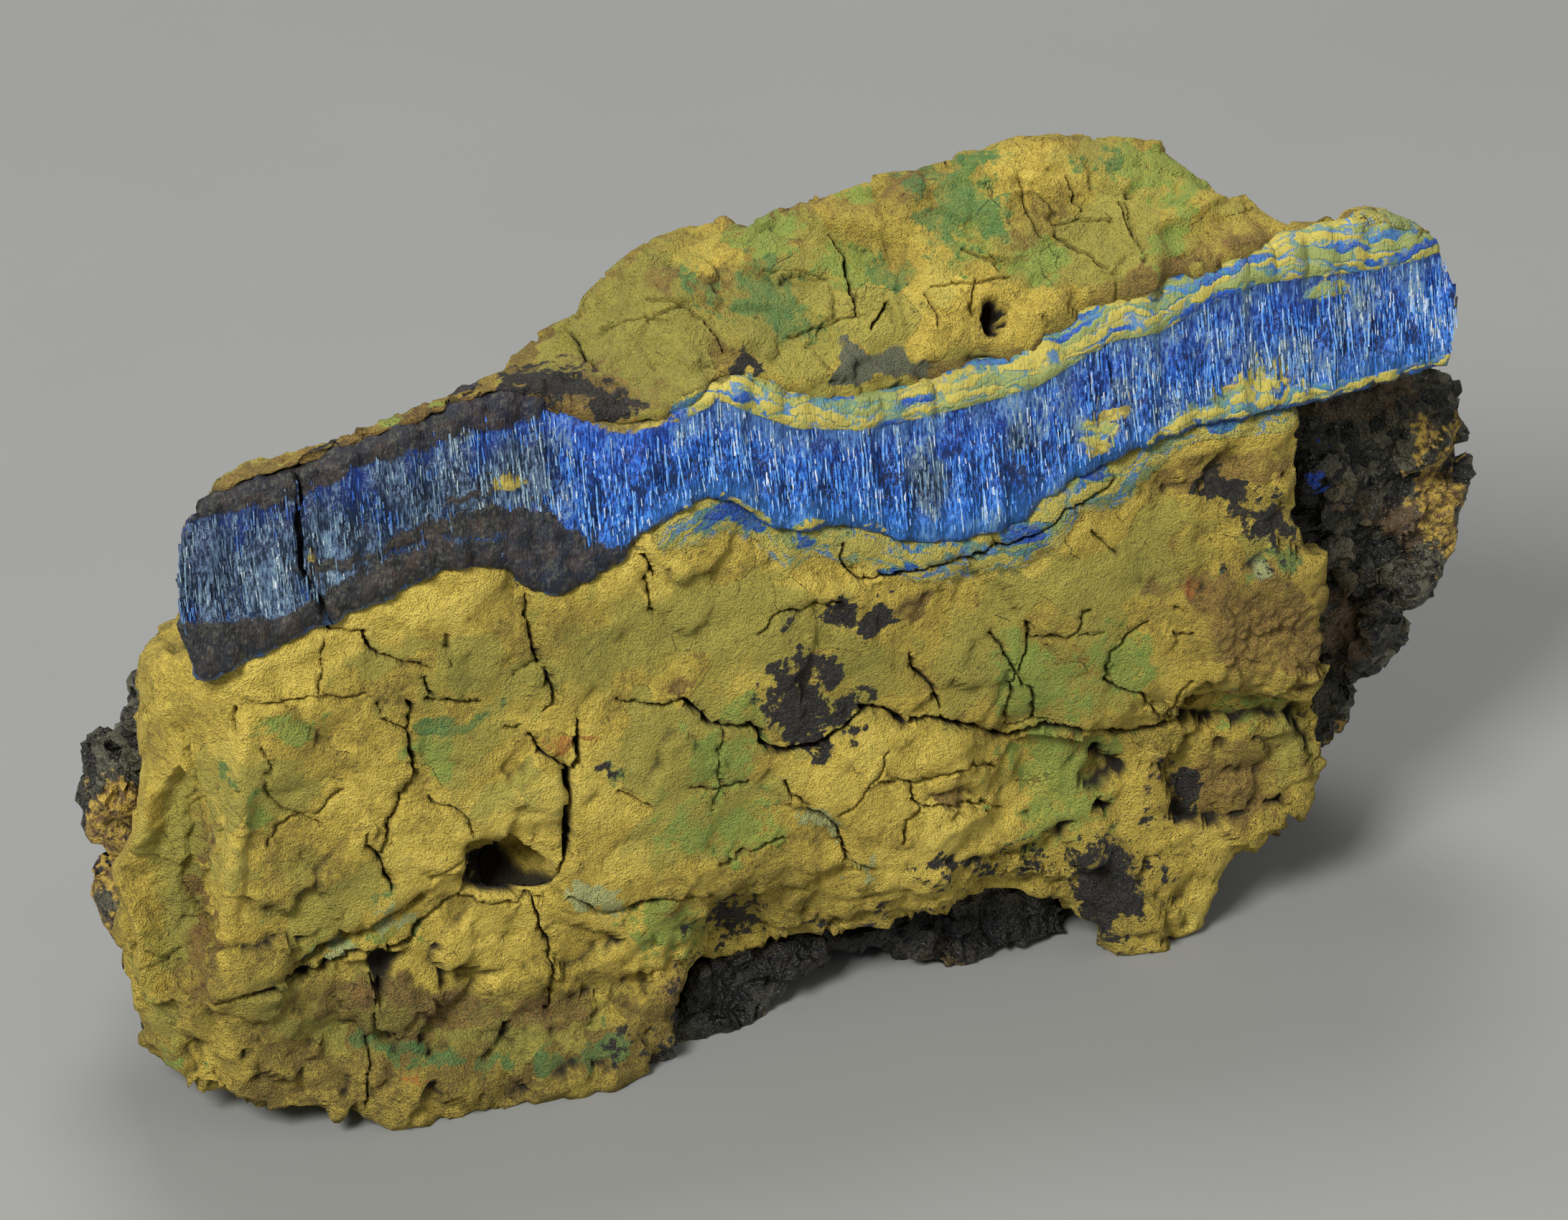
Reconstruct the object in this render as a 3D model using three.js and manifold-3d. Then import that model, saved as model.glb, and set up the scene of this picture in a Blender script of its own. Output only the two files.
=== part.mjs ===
// Azurite specimen: a cross-fibre azurite vein between two walls of ochre matrix, with a dark oxide crust
// behind and below. Millimetres. +X runs along the vein, +Y from the front face into the rock, +Z up.
import * as THREE from "three";
import { mergeVertices } from "three/addons/utils/BufferGeometryUtils.js";
import { ImprovedNoise } from "three/addons/math/ImprovedNoise.js";
import Module from "manifold-3d";

const { lerp, smoothstep } = THREE.MathUtils;

// Driving dimensions
const GAP = 0.4; // clearance kept between neighbouring pieces
const VEIN_DIP = 0.28; // the vein drops this much for each millimetre into the rock
const VEIN_FRONT = 0.5; // the fibres start this far behind the matrix face
const FLUTE_DEPTH = 0.28; // ridges of the fibre bundles
const VEIN_ENDS = [-27.2, 33];
const FACE_LEAN = 0.035; // backward lean of the matrix face
const FACE_ROUGHNESS = 0.45;
const CAP_ENDS = [-25.4, 31.4];
const CAP_RIM = 0.6; // thin wall rock left on the vein where the cap has broken away
const CAP_BACK = 11.5;
const CREST_DEPTH = 8; // the cap's crest stands this far behind the matrix face
const CRUST_FRONT = 13.5; // the matrix ends and the crust starts
const CRUST_FOOT_TOP = 3.1;

// Lines along the rock, as [x, z] points on its front
const veinFloor = line([
  [-27.2, 24.2], [-24.3, 24.7], [-18.2, 26.6], [-12.6, 27.3], [-10.6, 25.6], [-8, 25.9], [-5.4, 27.7],
  [-2.7, 28.5], [0, 26.4], [3.4, 25.9], [6, 24.6], [10.8, 24.4], [13.6, 26], [18.4, 27.4], [25.4, 27.8],
  [31.7, 28.4],
]);
const veinRoof = line([
  [-27.2, 29.6], [-24.4, 31], [-19.8, 32], [-14.4, 33.2], [-11, 33.6], [-7.4, 31.5], [-4.4, 31.4],
  [-1.6, 32.4], [2.2, 30.8], [5.6, 30.4], [11.6, 31.2], [15.6, 32.7], [20.2, 33.5], [25, 34.4], [29.4, 34],
  [31.4, 32.8],
]);
const crest = line([
  [-13, 31.6], [-8.4, 32.6], [-5.8, 34.2], [-3.8, 35.6], [0, 36.7], [6, 37.5], [10, 37.9], [14, 38.6],
  [18, 37.8], [21.2, 36.9], [22.6, 34.9], [24.4, 32.6],
]);
const faceFoot = line([[-4, 9.2], [-0.4, 9.4], [2, 8.4], [6, 7.4], [11, 6.4], [15, 4.5], [17, 1]]);
const ledge = line([[-26, 8.3], [-20, 9.7], [-15, 11.4], [-11, 10.4], [-6.4, 9.2], [-4, 9.2]]);
const slabFoot = line([[7, 15.4], [10.2, 14.2], [13, 13.9], [16, 13.2], [20.6, 14], [25, 13.6]]);
const matrixBase = line([
  [-27, 2.7], [-22, 1.3], [-18.5, 0.5], [-16.5, -0.4], [-12, -0.6], [-8, -0.6], [-5.4, 0.9], [-2, 3.4],
  [2, 3.7], [13.4, 3.7], [15.6, 2], [17, -0.6], [22, -0.6],
]);
const crustBase = line([
  [-6, -0.3], [-2, -0.2], [0.4, 0.3], [2.6, 1.7], [5.6, 1.5], [7.4, 0.8], [10.4, -0.3], [12, 0.7],
  [15.4, -0.3],
]);
// The front of the crust's foot, as [x, y] points
const crustToe = line([[-6, 1.2], [-2, 2.4], [4, 3.2], [16, 3.4]]);
// The right ends of the crust and the matrix, as [z, x] points
const crustRight = line([[6, 30.4], [8.8, 31.4], [10.5, 33], [13.5, 35], [16, 35.8], [20, 35.6], [23, 34]]);
const matrixRight = line([
  [0, 21.6], [3, 21.9], [4.6, 23.6], [6.2, 26.8], [9, 27.2], [12, 26], [15, 25.5], [26, 24.2],
]);
// The back of the rock, as [z, y] points
const rockBack = line([[0, 16.4], [6, 19.4], [14, 19.8], [20, 17.6], [25, 14.2], [30, 11], [36, 9]]);

// A smooth curve through points, flat past its ends.
function line(points) {
  const curve = new THREE.CubicInterpolant(points.map((p) => p[0]), points.map((p) => p[1]), 1);
  return (t) => curve.evaluate(t)[0];
}

const perlin = new ImprovedNoise();

// Fractured rock relief, about -1 to 1, with bumps of the given size.
function rough(x, y, z, size) {
  const broad = perlin.noise(x / size, y / size, z / size);
  const fine = perlin.noise((2.3 * x) / size + 7, (2.3 * y) / size, (2.3 * z) / size);
  return broad + 0.5 * fine;
}

// A hump of height 1 at the centre, gone past the radius.
function hump(distance, radius) {
  return smoothstep(radius - Math.abs(distance), 0, radius);
}

const loader = await Module();
loader.setup();

function solidOf(geometry) {
  return new loader.Manifold(
    new loader.Mesh({
      numProp: 3,
      vertProperties: new Float32Array(geometry.attributes.position.array),
      triVerts: new Uint32Array(geometry.index.array),
    }),
  );
}

function closed(geometry) {
  geometry.deleteAttribute("normal");
  geometry.deleteAttribute("uv");
  return mergeVertices(geometry, 1e-5);
}

function geometryOf(solid) {
  const { vertProperties, triVerts } = solid.getMesh();
  return new THREE.BufferGeometry()
    .setAttribute("position", new THREE.BufferAttribute(new Float32Array(vertProperties), 3))
    .setIndex(new THREE.BufferAttribute(new Uint32Array(triVerts), 1));
}

// A brick of many cells bent to six relief functions: the ends give x, the front and back y, the bottom and
// top z.
function bentBrick({ cells, left, right, front, back, bottom, top }) {
  const brick = closed(new THREE.BoxGeometry(1, 1, 1, ...cells).translate(0.5, 0.5, 0.5));
  const place = brick.attributes.position;
  for (let i = 0; i < place.count; i++) {
    const [a, b, c] = [place.getX(i), place.getY(i), place.getZ(i)];
    const x = lerp(left(b, c), right(b, c), a);
    let y = lerp(0, CRUST_FRONT, b);
    let z = 0;
    for (let round = 0; round < 6; round++) {
      z = lerp(bottom(x, y), top(x, y), c);
      y = lerp(front(x, z, a), back(x, z), b);
    }
    place.setXYZ(i, x, y, z);
  }
  return solidOf(brick);
}

// A rounded lump with a broken surface.
function lump(x, y, z, radius, flatten = 1) {
  const ball = closed(new THREE.IcosahedronGeometry(radius, 1));
  const place = ball.attributes.position;
  const point = new THREE.Vector3();
  for (let i = 0; i < place.count; i++) {
    point.fromBufferAttribute(place, i);
    point.multiplyScalar(1 + 0.34 * rough(point.x + x, point.y + y, point.z + z, 0.9 * radius));
    place.setXYZ(i, x + point.x, y + point.y * flatten, z + point.z);
  }
  return solidOf(ball);
}

// A fissure along [x, z] points, widest in its middle, cut from in front of the face to a depth.
function fissure(path, width, depth) {
  const along = path.map(([x, z]) => new THREE.Vector2(x, z));
  const half = along.map((_, i) => 0.08 + (width / 2) * Math.sin((Math.PI * i) / (along.length - 1)));
  const side = (sign) =>
    along.map((p, i) => {
      const next = along[Math.min(i + 1, along.length - 1)];
      const run = next.clone().sub(along[Math.max(i - 1, 0)]).normalize();
      return new THREE.Vector2(p.x - sign * run.y * half[i], p.y + sign * run.x * half[i]);
    });
  return prism([...side(-1), ...side(1).reverse()], depth);
}

// An outline in x and z pushed through the front face to a depth.
function prism(outline, depth) {
  const reach = 4;
  const shape = new THREE.Shape(outline);
  const body = new THREE.ExtrudeGeometry(shape, { depth: depth + reach, bevelEnabled: false });
  return solidOf(closed(body.rotateX(Math.PI / 2).translate(0, depth, 0)));
}

// Height of the vein's lower and upper walls at a point of the plan
const floorAt = (x, y) => veinFloor(x) - VEIN_DIP * (y - VEIN_FRONT);
const roofAt = (x, y) => veinRoof(x) - VEIN_DIP * (y - VEIN_FRONT - 1.6);

function matrixFace(x, z) {
  const leftShare = smoothstep(-x, 3, 6);
  const shoulder = 0.3 * Math.max(0, z - veinFloor(x) + 2.6);
  const belowLedge = ledge(x) - z;
  const toe = 0.6 * smoothstep(4 - z, 0, 2.2) * smoothstep(x, -24, -15);
  const step = 0.75 * smoothstep(belowLedge, 0, 0.9) + 0.9 * hump(z - 4.7, 1.6) - toe;
  const undercut = 0.6 * Math.min(6, Math.max(0, faceFoot(x) - z));
  const recess = 1.3 * smoothstep(slabFoot(x) - z, 0, 0.8) * smoothstep(x, 8, 11);
  return (
    FACE_LEAN * z + shoulder + leftShare * step + (1 - leftShare) * (undercut + recess) +
    FACE_ROUGHNESS * rough(x, 3, z, 4.5)
  );
}

function matrixLeftEnd(b, c) {
  const scoop = 1.9 * hump(b - 0.3, 0.28) * hump(c - 0.5, 0.34);
  const belly = 2.9 * Math.sin(Math.PI * Math.min(1, 0.85 * b));
  return -26.1 + 2.5 * c - belly + scoop + 1.7 * hump(c, 0.26) + 0.4 * rough(9 * b, 20, 20 * c, 3);
}

// The matrix before its pit and fissures are cut, grown all round by a margin.
function matrixBody(margin) {
  return bentBrick({
    cells: [34, 6, 13],
    left: (b, c) => matrixLeftEnd(b, c) - margin,
    right: (b, c) => matrixRight(26 * c) - 1.5 * b + 0.4 * rough(40, 9 * b, 20 * c, 3) + margin,
    front: (x, z) => matrixFace(x, z) - margin,
    back: (x, z) => crustFace(x, z) - GAP + margin,
    bottom: (x) => Math.max(0, matrixBase(x)) - margin,
    top: (x, y) => floorAt(x, y) - GAP + margin,
  });
}

function ochreMatrix() {
  const body = matrixBody(0);
  const pitOutline = [[-14.6, 11.8], [-10.6, 10.7], [-10.3, 11.6], [-12.8, 13.9], [-14.6, 13.8]];
  const pit = prism(pitOutline.map(([x, z]) => new THREE.Vector2(x, z)), 3.2);
  const fissures = [
    fissure([[-9.7, 19], [-9.6, 17], [-9.9, 15], [-9.8, 13.2], [-10.5, 11.4]], 0.42, 2.4),
    fissure([[-4.6, 18.8], [-2, 17.1], [-0.4, 15.8], [2.4, 15.6], [4.1, 16.8], [10.2, 14.2]], 0.36, 2.2),
    fissure([[10.2, 14.2], [13, 13.9], [16, 13.3]], 0.44, 3),
    fissure([[-25.8, 8.4], [-22.6, 8.9], [-20, 9.8], [-15.2, 11.7], [-10.8, 10.7]], 0.5, 3),
    fissure([[-17.6, 19.4], [-17.8, 17], [-18.8, 14.6], [-19, 12.6], [-18.2, 11.4]], 0.34, 1.8),
  ];
  return fissures.reduce((rock, cut) => rock.subtract(cut), body.subtract(pit));
}

// The vein's broken front follows its fibres, so it leans back as the vein dips.
function veinFace(x, z, a, columns) {
  const ridge = Math.round(a * columns) % 2 ? FLUTE_DEPTH : 0;
  const bundle = 0.35 * perlin.noise(1.1 * x, 0.15 * z, 5);
  return VEIN_FRONT + VEIN_DIP * (z - veinFloor(x)) + ridge + bundle;
}

// Both ends of the rock are broken away at the top of the back.
function thinTop(x, z) {
  return 6.6 * smoothstep(Math.abs(x - 5), 11, 20) * smoothstep(z, 22, 30);
}

function azuriteVein() {
  const columns = 80;
  const corner = (b, c) => 1.1 * hump(b, 0.35) + 0.5 * hump(c, 0.2) + 0.5 * hump(c - 1, 0.2);
  return bentBrick({
    cells: [columns, 2, 3],
    left: (b, c) => VEIN_ENDS[0] + corner(b, c) + 5 * b,
    right: (b, c) => VEIN_ENDS[1] - corner(b, c) - 2.5 * b,
    front: (x, z, a) => veinFace(x, z, a, columns),
    back: (x, z) => rockBack(z) - thinTop(x, z),
    bottom: floorAt,
    top: roofAt,
  });
}

function capTop(x, y) {
  const foot = VEIN_FRONT + 1.8;
  const rise = Math.max(0, crest(x) - roofAt(x, CREST_DEPTH) - CAP_RIM);
  const up = smoothstep(y, foot - 1.5, CREST_DEPTH + 0.5);
  const down = 0.75 * smoothstep(y, CREST_DEPTH + 0.5, CAP_BACK + 1);
  const broken = 0.5 * rough(x, y, 40, 4) * Math.min(1, rise / 3);
  return roofAt(x, y) + CAP_RIM + rise * (up - down) + broken;
}

function ochreCap() {
  return bentBrick({
    cells: [30, 8, 2],
    left: (b) => CAP_ENDS[0] + 3 * b + 0.5 * rough(0, 9 * b, 3, 3),
    right: (b) => CAP_ENDS[1] - 2.5 * b + 0.5 * rough(50, 9 * b, 3, 3),
    front: (x, z) => VEIN_FRONT + VEIN_DIP * (veinRoof(x) - veinFloor(x)) + 0.25 * (1 + rough(x, 60, z, 3)),
    back: (x) => CAP_BACK - 7.6 * smoothstep(Math.abs(x - 6), 12, 19) + 0.4 * rough(x, 80, 3, 4),
    bottom: (x, y) => roofAt(x, y) + GAP,
    top: capTop,
  });
}

// Where the crust begins: behind the matrix, and further forward round both of its ends.
function crustFace(x, z) {
  const wrap = 8 * smoothstep(x, 21.5, 26.5) + 4.5 * smoothstep(-x, 20.5, 24.5);
  return CRUST_FRONT - wrap + 0.3 * rough(x, 90, z, 6);
}

function darkCrust() {
  const slab = bentBrick({
    cells: [22, 2, 8],
    left: (b, c) => -26.4 + 4 * b + 1.8 * c - 1.4 * hump(c - 0.64, 0.3) + 0.6 * rough(0, 9 * b, 22 * c, 3),
    right: (b, c) => crustRight(lerp(6.5, 23, c)) - 2.6 * b - 0.4 + 0.6 * rough(60, 9 * b, 22 * c, 3),
    front: (x, z) => crustFace(x, z) + 0.5,
    back: (x, z) => rockBack(z) + 1.1 * rough(x, 100, z, 4) - 1.5 * smoothstep(Math.abs(x), 20, 32),
    bottom: (x) => 1 + 5.5 * smoothstep(x, 22, 29) + 3 * smoothstep(-x, 17, 24),
    top: (x, y) => floorAt(x, y) - 1 - 3 * smoothstep(-x, 12, 24) - 0.4 * (1 + rough(x, 0, 7, 4)),
  });
  const foot = bentBrick({
    cells: [15, 3, 2],
    left: () => -6,
    right: () => 15.4,
    front: (x, z) => crustToe(x) + 0.25 * z + 0.6 * rough(x, 0, 2 * z, 3),
    back: () => CRUST_FRONT + 2,
    bottom: (x) => Math.max(0, crustBase(x)),
    top: () => CRUST_FOOT_TOP,
  });
  const lumps = [
    lump(-26.4, 10, 15, 2), lump(-25.2, 9.8, 17.6, 1.7), lump(-26, 10.2, 8.4, 2.2), lump(-25, 11.6, 12, 3),
    lump(33, 7.6, 21.2, 2.5), lump(34, 8, 17.6, 2.3), lump(33.2, 7.4, 14.2, 2.1), lump(30.8, 7, 11, 2.3),
    lump(28.6, 6.4, 15.6, 1.8), lump(28.2, 6, 20.4, 1.6),
    lump(-12, 19.2, 12, 4, 0.6), lump(4, 19.6, 14, 4.6, 0.6), lump(18, 18.6, 9, 4.2, 0.6),
  ];
  return lumps.reduce((crust, part) => crust.add(part), slab.add(foot)).subtract(matrixBody(GAP));
}

function piece(name, solid, color, roughness) {
  const finish = new THREE.MeshStandardMaterial({ color, roughness, metalness: 0, flatShading: true });
  const mesh = new THREE.Mesh(geometryOf(solid), finish);
  mesh.name = name;
  return mesh;
}

const specimen = new THREE.Group();
specimen.add(
  piece("ochre_matrix", ochreMatrix(), 0xb39a45, 0.95),
  piece("azurite_vein", azuriteVein(), 0x2f55c8, 0.35),
  piece("ochre_cap", ochreCap(), 0xb8a04a, 0.95),
  piece("dark_crust", darkCrust(), 0x36332a, 0.7),
);

// The origin is under the middle of the specimen's box, on the surface that it rests on.
const box = new THREE.Box3().setFromObject(specimen);
const middle = box.getCenter(new THREE.Vector3());
specimen.position.set(-middle.x, -middle.y, -box.min.z);

export default specimen;
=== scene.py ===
import bpy
import bmesh
import math
import numpy as np
from mathutils import Matrix, Vector
from mathutils.bvhtree import BVHTree


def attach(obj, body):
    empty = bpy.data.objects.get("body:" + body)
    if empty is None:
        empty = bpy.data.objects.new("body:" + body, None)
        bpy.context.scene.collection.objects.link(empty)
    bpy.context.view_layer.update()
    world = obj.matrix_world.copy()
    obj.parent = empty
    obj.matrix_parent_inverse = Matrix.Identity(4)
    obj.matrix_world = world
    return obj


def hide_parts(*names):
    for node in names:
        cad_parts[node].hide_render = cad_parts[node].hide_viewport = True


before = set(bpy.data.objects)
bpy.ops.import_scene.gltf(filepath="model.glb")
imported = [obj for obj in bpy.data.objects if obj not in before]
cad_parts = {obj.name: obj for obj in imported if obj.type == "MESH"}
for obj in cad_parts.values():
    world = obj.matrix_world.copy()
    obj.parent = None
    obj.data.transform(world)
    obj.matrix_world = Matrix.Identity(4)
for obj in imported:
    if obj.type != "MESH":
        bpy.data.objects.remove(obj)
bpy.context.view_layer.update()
print("frame loaded:", sorted(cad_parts))

# The rock is worked in millimetres. Listed marks are pixels of a 2184 x 1699 picture.
picture = {
    "width": 2184, "height": 1699,
    "turn": -21, "tilt": 30, "distance": 260,   # where the camera stands, degrees and mm
    "target": (0, 0, 22.5),                     # the point in the middle of the picture
    "perMm": 32.7,                              # pixels to a millimetre at that point
    "origin": (-4.032, -11.268, 0.0),           # the working frame's zero in the part's frame
}
origin = np.array(picture["origin"])


def lookAxes():
    turn, tilt = math.radians(picture["turn"]), math.radians(picture["tilt"])
    back = np.array([math.sin(turn) * math.cos(tilt), -math.cos(turn) * math.cos(tilt), math.sin(tilt)])
    right = np.array([math.cos(turn), math.sin(turn), 0.0])
    return right, np.cross(back, right), back


lookRight, lookUp, lookBack = lookAxes()
eye = np.array(picture["target"]) + lookBack * picture["distance"]
focal = picture["perMm"] * picture["distance"]


def pixelsOf(points):
    d = points - eye
    depth = -(d @ lookBack)
    across = picture["width"] / 2 + focal * (d @ lookRight) / depth
    down = picture["height"] / 2 - focal * (d @ lookUp) / depth
    return np.stack([across, down], -1)


# numbers from noise
dice = np.random.default_rng(11)
slopes = dice.normal(size=(1024, 3))
slopes /= np.linalg.norm(slopes, axis=1)[:, None]
scatter = dice.random((1024, 3))


def shuffled(cell, seed):
    c = (cell & 0xFFFFFFFF).astype(np.uint32)
    n = c[..., 0] * np.uint32(73856093) ^ c[..., 1] * np.uint32(19349663) ^ c[..., 2] * np.uint32(83492791)
    n = (n ^ np.uint32(seed * 7919 + 17)) * np.uint32(1274126177)
    n = (n ^ (n >> np.uint32(13))) * np.uint32(2246822519)
    return ((n ^ (n >> np.uint32(16))) & np.uint32(1023)).astype(np.int64)


def wander(points, size, seed):   # smooth noise in two sizes, about -1 to 1
    total = np.zeros(len(points))
    for octave, weight in enumerate((1.5, 0.75)):
        p = points / size * 2 ** octave + 31.7 * (seed + octave)
        cell = np.floor(p).astype(np.int64)
        f = p - cell
        u = f * f * f * (f * (f * 6 - 15) + 10)
        for corner in np.ndindex(2, 2, 2):
            corner = np.array(corner)
            slope = slopes[shuffled(cell + corner, seed)]
            share = np.where(corner, u, 1 - u).prod(1)
            total += weight * share * ((f - corner) * slope).sum(1)
    return total


def crumbs(points, size, seed):   # distance to the nearest grain, and that grain's number and place
    p = points / size
    cell = np.floor(p).astype(np.int64)
    far, number, place = np.full(len(p), 9.0), np.zeros(len(p), np.int64), np.zeros_like(p)
    for shift in np.ndindex(3, 3, 3):
        c = cell + np.array(shift) - 1
        n = shuffled(c, seed)
        spot = c + scatter[n]
        d = np.linalg.norm(spot - p, axis=1)
        closer = d < far
        far[closer], number[closer], place[closer] = d[closer], n[closer], spot[closer]
    return far * size, number, place * size


def ramp(value, low, high):
    t = np.clip((value - low) / (high - low), 0, 1)
    return t * t * (3 - 2 * t)


def blotches(points, size, seed, low, high):
    return ramp(wander(points, size, seed), low, high)


def shaken(points, size, seed):   # three independent noises
    return np.stack([wander(points, size, seed + k) for k in range(3)], -1)


def facets(points, size, seed, shake, shakeSize, shakeSeed):   # rise of a broken face made of tilted flats
    points = points + shake * shaken(points, shakeSize, shakeSeed)
    number, place = crumbs(points, size, seed)[1:]
    return ((points - place) * (scatter[number] - 0.5)).sum(1)


# marks placed on the picture
def ragged(points, seed, size=1.5, share=0.55):   # picture places for painting, torn along fracture cells
    shake = shaken(points, 0.9, seed)
    place = crumbs(points + 0.35 * shake, size, seed)[2]
    return pixelsOf(points + 0.3 * shake + share * (place - points))


def fade(pixels, span):   # 0 to 1 between two places across the picture
    return ramp(pixels[:, 0], *span)


def strokeDistance(pixels, path):   # pixels from a drawn line, and the share of the way along it
    path = np.array(path, float)
    far, along = np.full(len(pixels), 1e6), np.zeros(len(pixels))
    near = ((pixels > path.min(0) - 90) & (pixels < path.max(0) + 90)).all(1)   # the rest counts as far away
    p = pixels[near]
    best, at = np.full(len(p), 1e6), np.zeros(len(p))
    steps = np.linalg.norm(np.diff(path, axis=0), axis=1)
    walked = 0.0
    for a, b, step in zip(path[:-1], path[1:], steps):
        t = np.clip(((p - a) @ (b - a)) / step ** 2, 0, 1)
        d = np.linalg.norm(p - a - t[:, None] * (b - a), axis=1)
        closer = d < best
        best = np.where(closer, d, best)
        at = np.where(closer, (walked + t * step) / steps.sum(), at)
        walked += step
    far[near], along[near] = best, at
    return far, along


def spots(pixels, marks):   # soft patches: (x, y, half width, half height, turn in degrees)
    mask = np.zeros(len(pixels))
    for x, y, wide, high, *turn in marks:
        a = math.radians(turn[0] if turn else 0)
        d = pixels - (x, y)
        u = (d[:, 0] * math.cos(a) + d[:, 1] * math.sin(a)) / wide
        v = (d[:, 1] * math.cos(a) - d[:, 0] * math.sin(a)) / high
        mask = np.maximum(mask, 1 - 0.5 * np.hypot(u, v))
    return np.clip(mask, 0, 1)


def lines(pixels, marks):   # soft streaks: (half width, points)
    mask = np.zeros(len(pixels))
    for wide, path in marks:
        mask = np.maximum(mask, 1 - 0.5 * strokeDistance(pixels, path)[0] / wide)
    return np.clip(mask, 0, 1)


def within(pixels, outline, soft):   # 1 inside a drawn outline, falling to 0 at its edge
    inside = np.zeros(len(pixels), bool)
    path = np.array(list(outline) + [outline[0]], float)
    for (ax, ay), (bx, by) in zip(path[:-1], path[1:]):
        crosses = (ay > pixels[:, 1]) != (by > pixels[:, 1])
        inside ^= crosses & (pixels[:, 0] < ax + (pixels[:, 1] - ay) * (bx - ax) / (by - ay + 1e-9))
    return np.where(inside, np.clip(strokeDistance(pixels, path)[0] / soft, 0, 1), 0.0)


def above(pixels, path):   # pixels above a line drawn from left to right
    path = np.array(path, float)
    return np.interp(pixels[:, 0], path[:, 0], path[:, 1]) - pixels[:, 1]


def crackPixels(points):   # picture places for cracks, shaken so that the drawn lines run unevenly
    return pixelsOf(points + 0.16 * shaken(points, 1.1, 41) + 0.06 * shaken(points, 0.4, 44))


def grooves(points, cracks):   # depth of the drawn cracks, mm
    pixels, groove = crackPixels(points), np.zeros(len(points))
    for (wide, deep), paths in cracks.items():
        for path in paths:
            far, along = strokeDistance(pixels, path)
            swell = 0.25 + 0.4 * np.sin(np.pi * np.clip(along, 0.03, 0.97)) ** 0.6   # widest half-way along
            half = np.maximum(2.2, wide * picture["perMm"] * swell)   # not too thin for the mesh
            groove = np.maximum(groove, deep * np.clip(1.5 * (1 - far / half), 0, 1))
    return groove


veinRoofLine = [
    (249, 744), (289, 710), (372, 691), (435, 657), (524, 608), (624, 586), (677, 571), (713, 551),
    (789, 561), (842, 604), (882, 604), (942, 591), (1002, 558), (1055, 578), (1108, 596), (1202, 599),
    (1297, 579), (1378, 559), (1446, 538), (1500, 504), (1554, 474), (1615, 464), (1669, 430),
    (1750, 396), (1838, 383), (1919, 376), (2014, 352),
]
flakeTopLine = [
    (900, 575), (960, 545), (1040, 518), (1081, 532), (1128, 559), (1229, 548), (1337, 525), (1419, 491),
    (1500, 457), (1540, 423), (1601, 393), (1682, 376), (1770, 339), (1824, 319), (1892, 302),
    (1953, 308), (2014, 342),
]
veinFloorLine = [
    (222, 930), (249, 969), (325, 926), (431, 876), (518, 833), (590, 840), (697, 780), (716, 773),
    (750, 823), (789, 820), (842, 800), (889, 770), (909, 737), (949, 710), (1008, 687), (1055, 710),
    (1094, 743), (1128, 721), (1175, 734), (1223, 731), (1263, 761), (1344, 748), (1419, 734),
    (1473, 707), (1500, 667), (1574, 646), (1648, 599), (1716, 592), (1784, 586), (1797, 565),
    (1851, 555), (1953, 528), (2034, 504),
]


# meshes
def pointsOf(mesh):
    flat = np.empty(len(mesh.vertices) * 3, np.float32)
    mesh.vertices.foreach_get("co", flat)
    return flat.reshape(-1, 3).astype(float) * 1000 - origin


def putPoints(mesh, points):
    mesh.vertices.foreach_set("co", ((points + origin) / 1000).astype(np.float32).ravel())
    mesh.update()


def normalsOf(mesh):
    flat = np.empty(len(mesh.vertices) * 3, np.float32)
    mesh.vertex_normals.foreach_get("vector", flat)
    return flat.reshape(-1, 3).astype(float)


def linksOf(mesh):
    flat = np.empty(len(mesh.edges) * 2, np.int32)
    mesh.edges.foreach_get("vertices", flat)
    return flat.reshape(-1, 2)


def facingOf(normals):   # 1 where the picture sees the surface well
    return ramp(normals @ lookBack, -0.05, 0.25)


def surfaceOf(mesh):
    points, normals = pointsOf(mesh), normalsOf(mesh)
    return points, normals, pixelsOf(points), facingOf(normals)


def soften(values, links, rounds):   # moves each point half-way to the middle of its neighbours
    a, b = links[:, 0], links[:, 1]
    count = np.bincount(a, minlength=len(values)) + np.bincount(b, minlength=len(values))
    for turn in range(rounds):
        middle = np.empty_like(values)
        for k in range(values.shape[1]):
            total = np.bincount(a, values[b, k], len(values)) + np.bincount(b, values[a, k], len(values))
            middle[:, k] = total / np.maximum(count, 1)
        values = values + 0.5 * (middle - values)
    return values


def hollowsOf(points, normals, links):   # depth below the surroundings, mm
    return ((soften(points, links, 8) - points) * normals).sum(1)


def fineCopy(node, voxel):   # a closed copy of a solid in small even faces
    work = bpy.data.objects.new("work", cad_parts[node].data.copy())
    bpy.context.scene.collection.objects.link(work)
    remesh = work.modifiers.new("even", "REMESH")
    remesh.mode = "VOXEL"
    remesh.voxel_size = voxel / 1000
    bpy.context.view_layer.update()
    mesh = bpy.data.meshes.new_from_object(work.evaluated_get(bpy.context.evaluated_depsgraph_get()))
    bpy.data.objects.remove(work)
    return mesh


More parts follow.
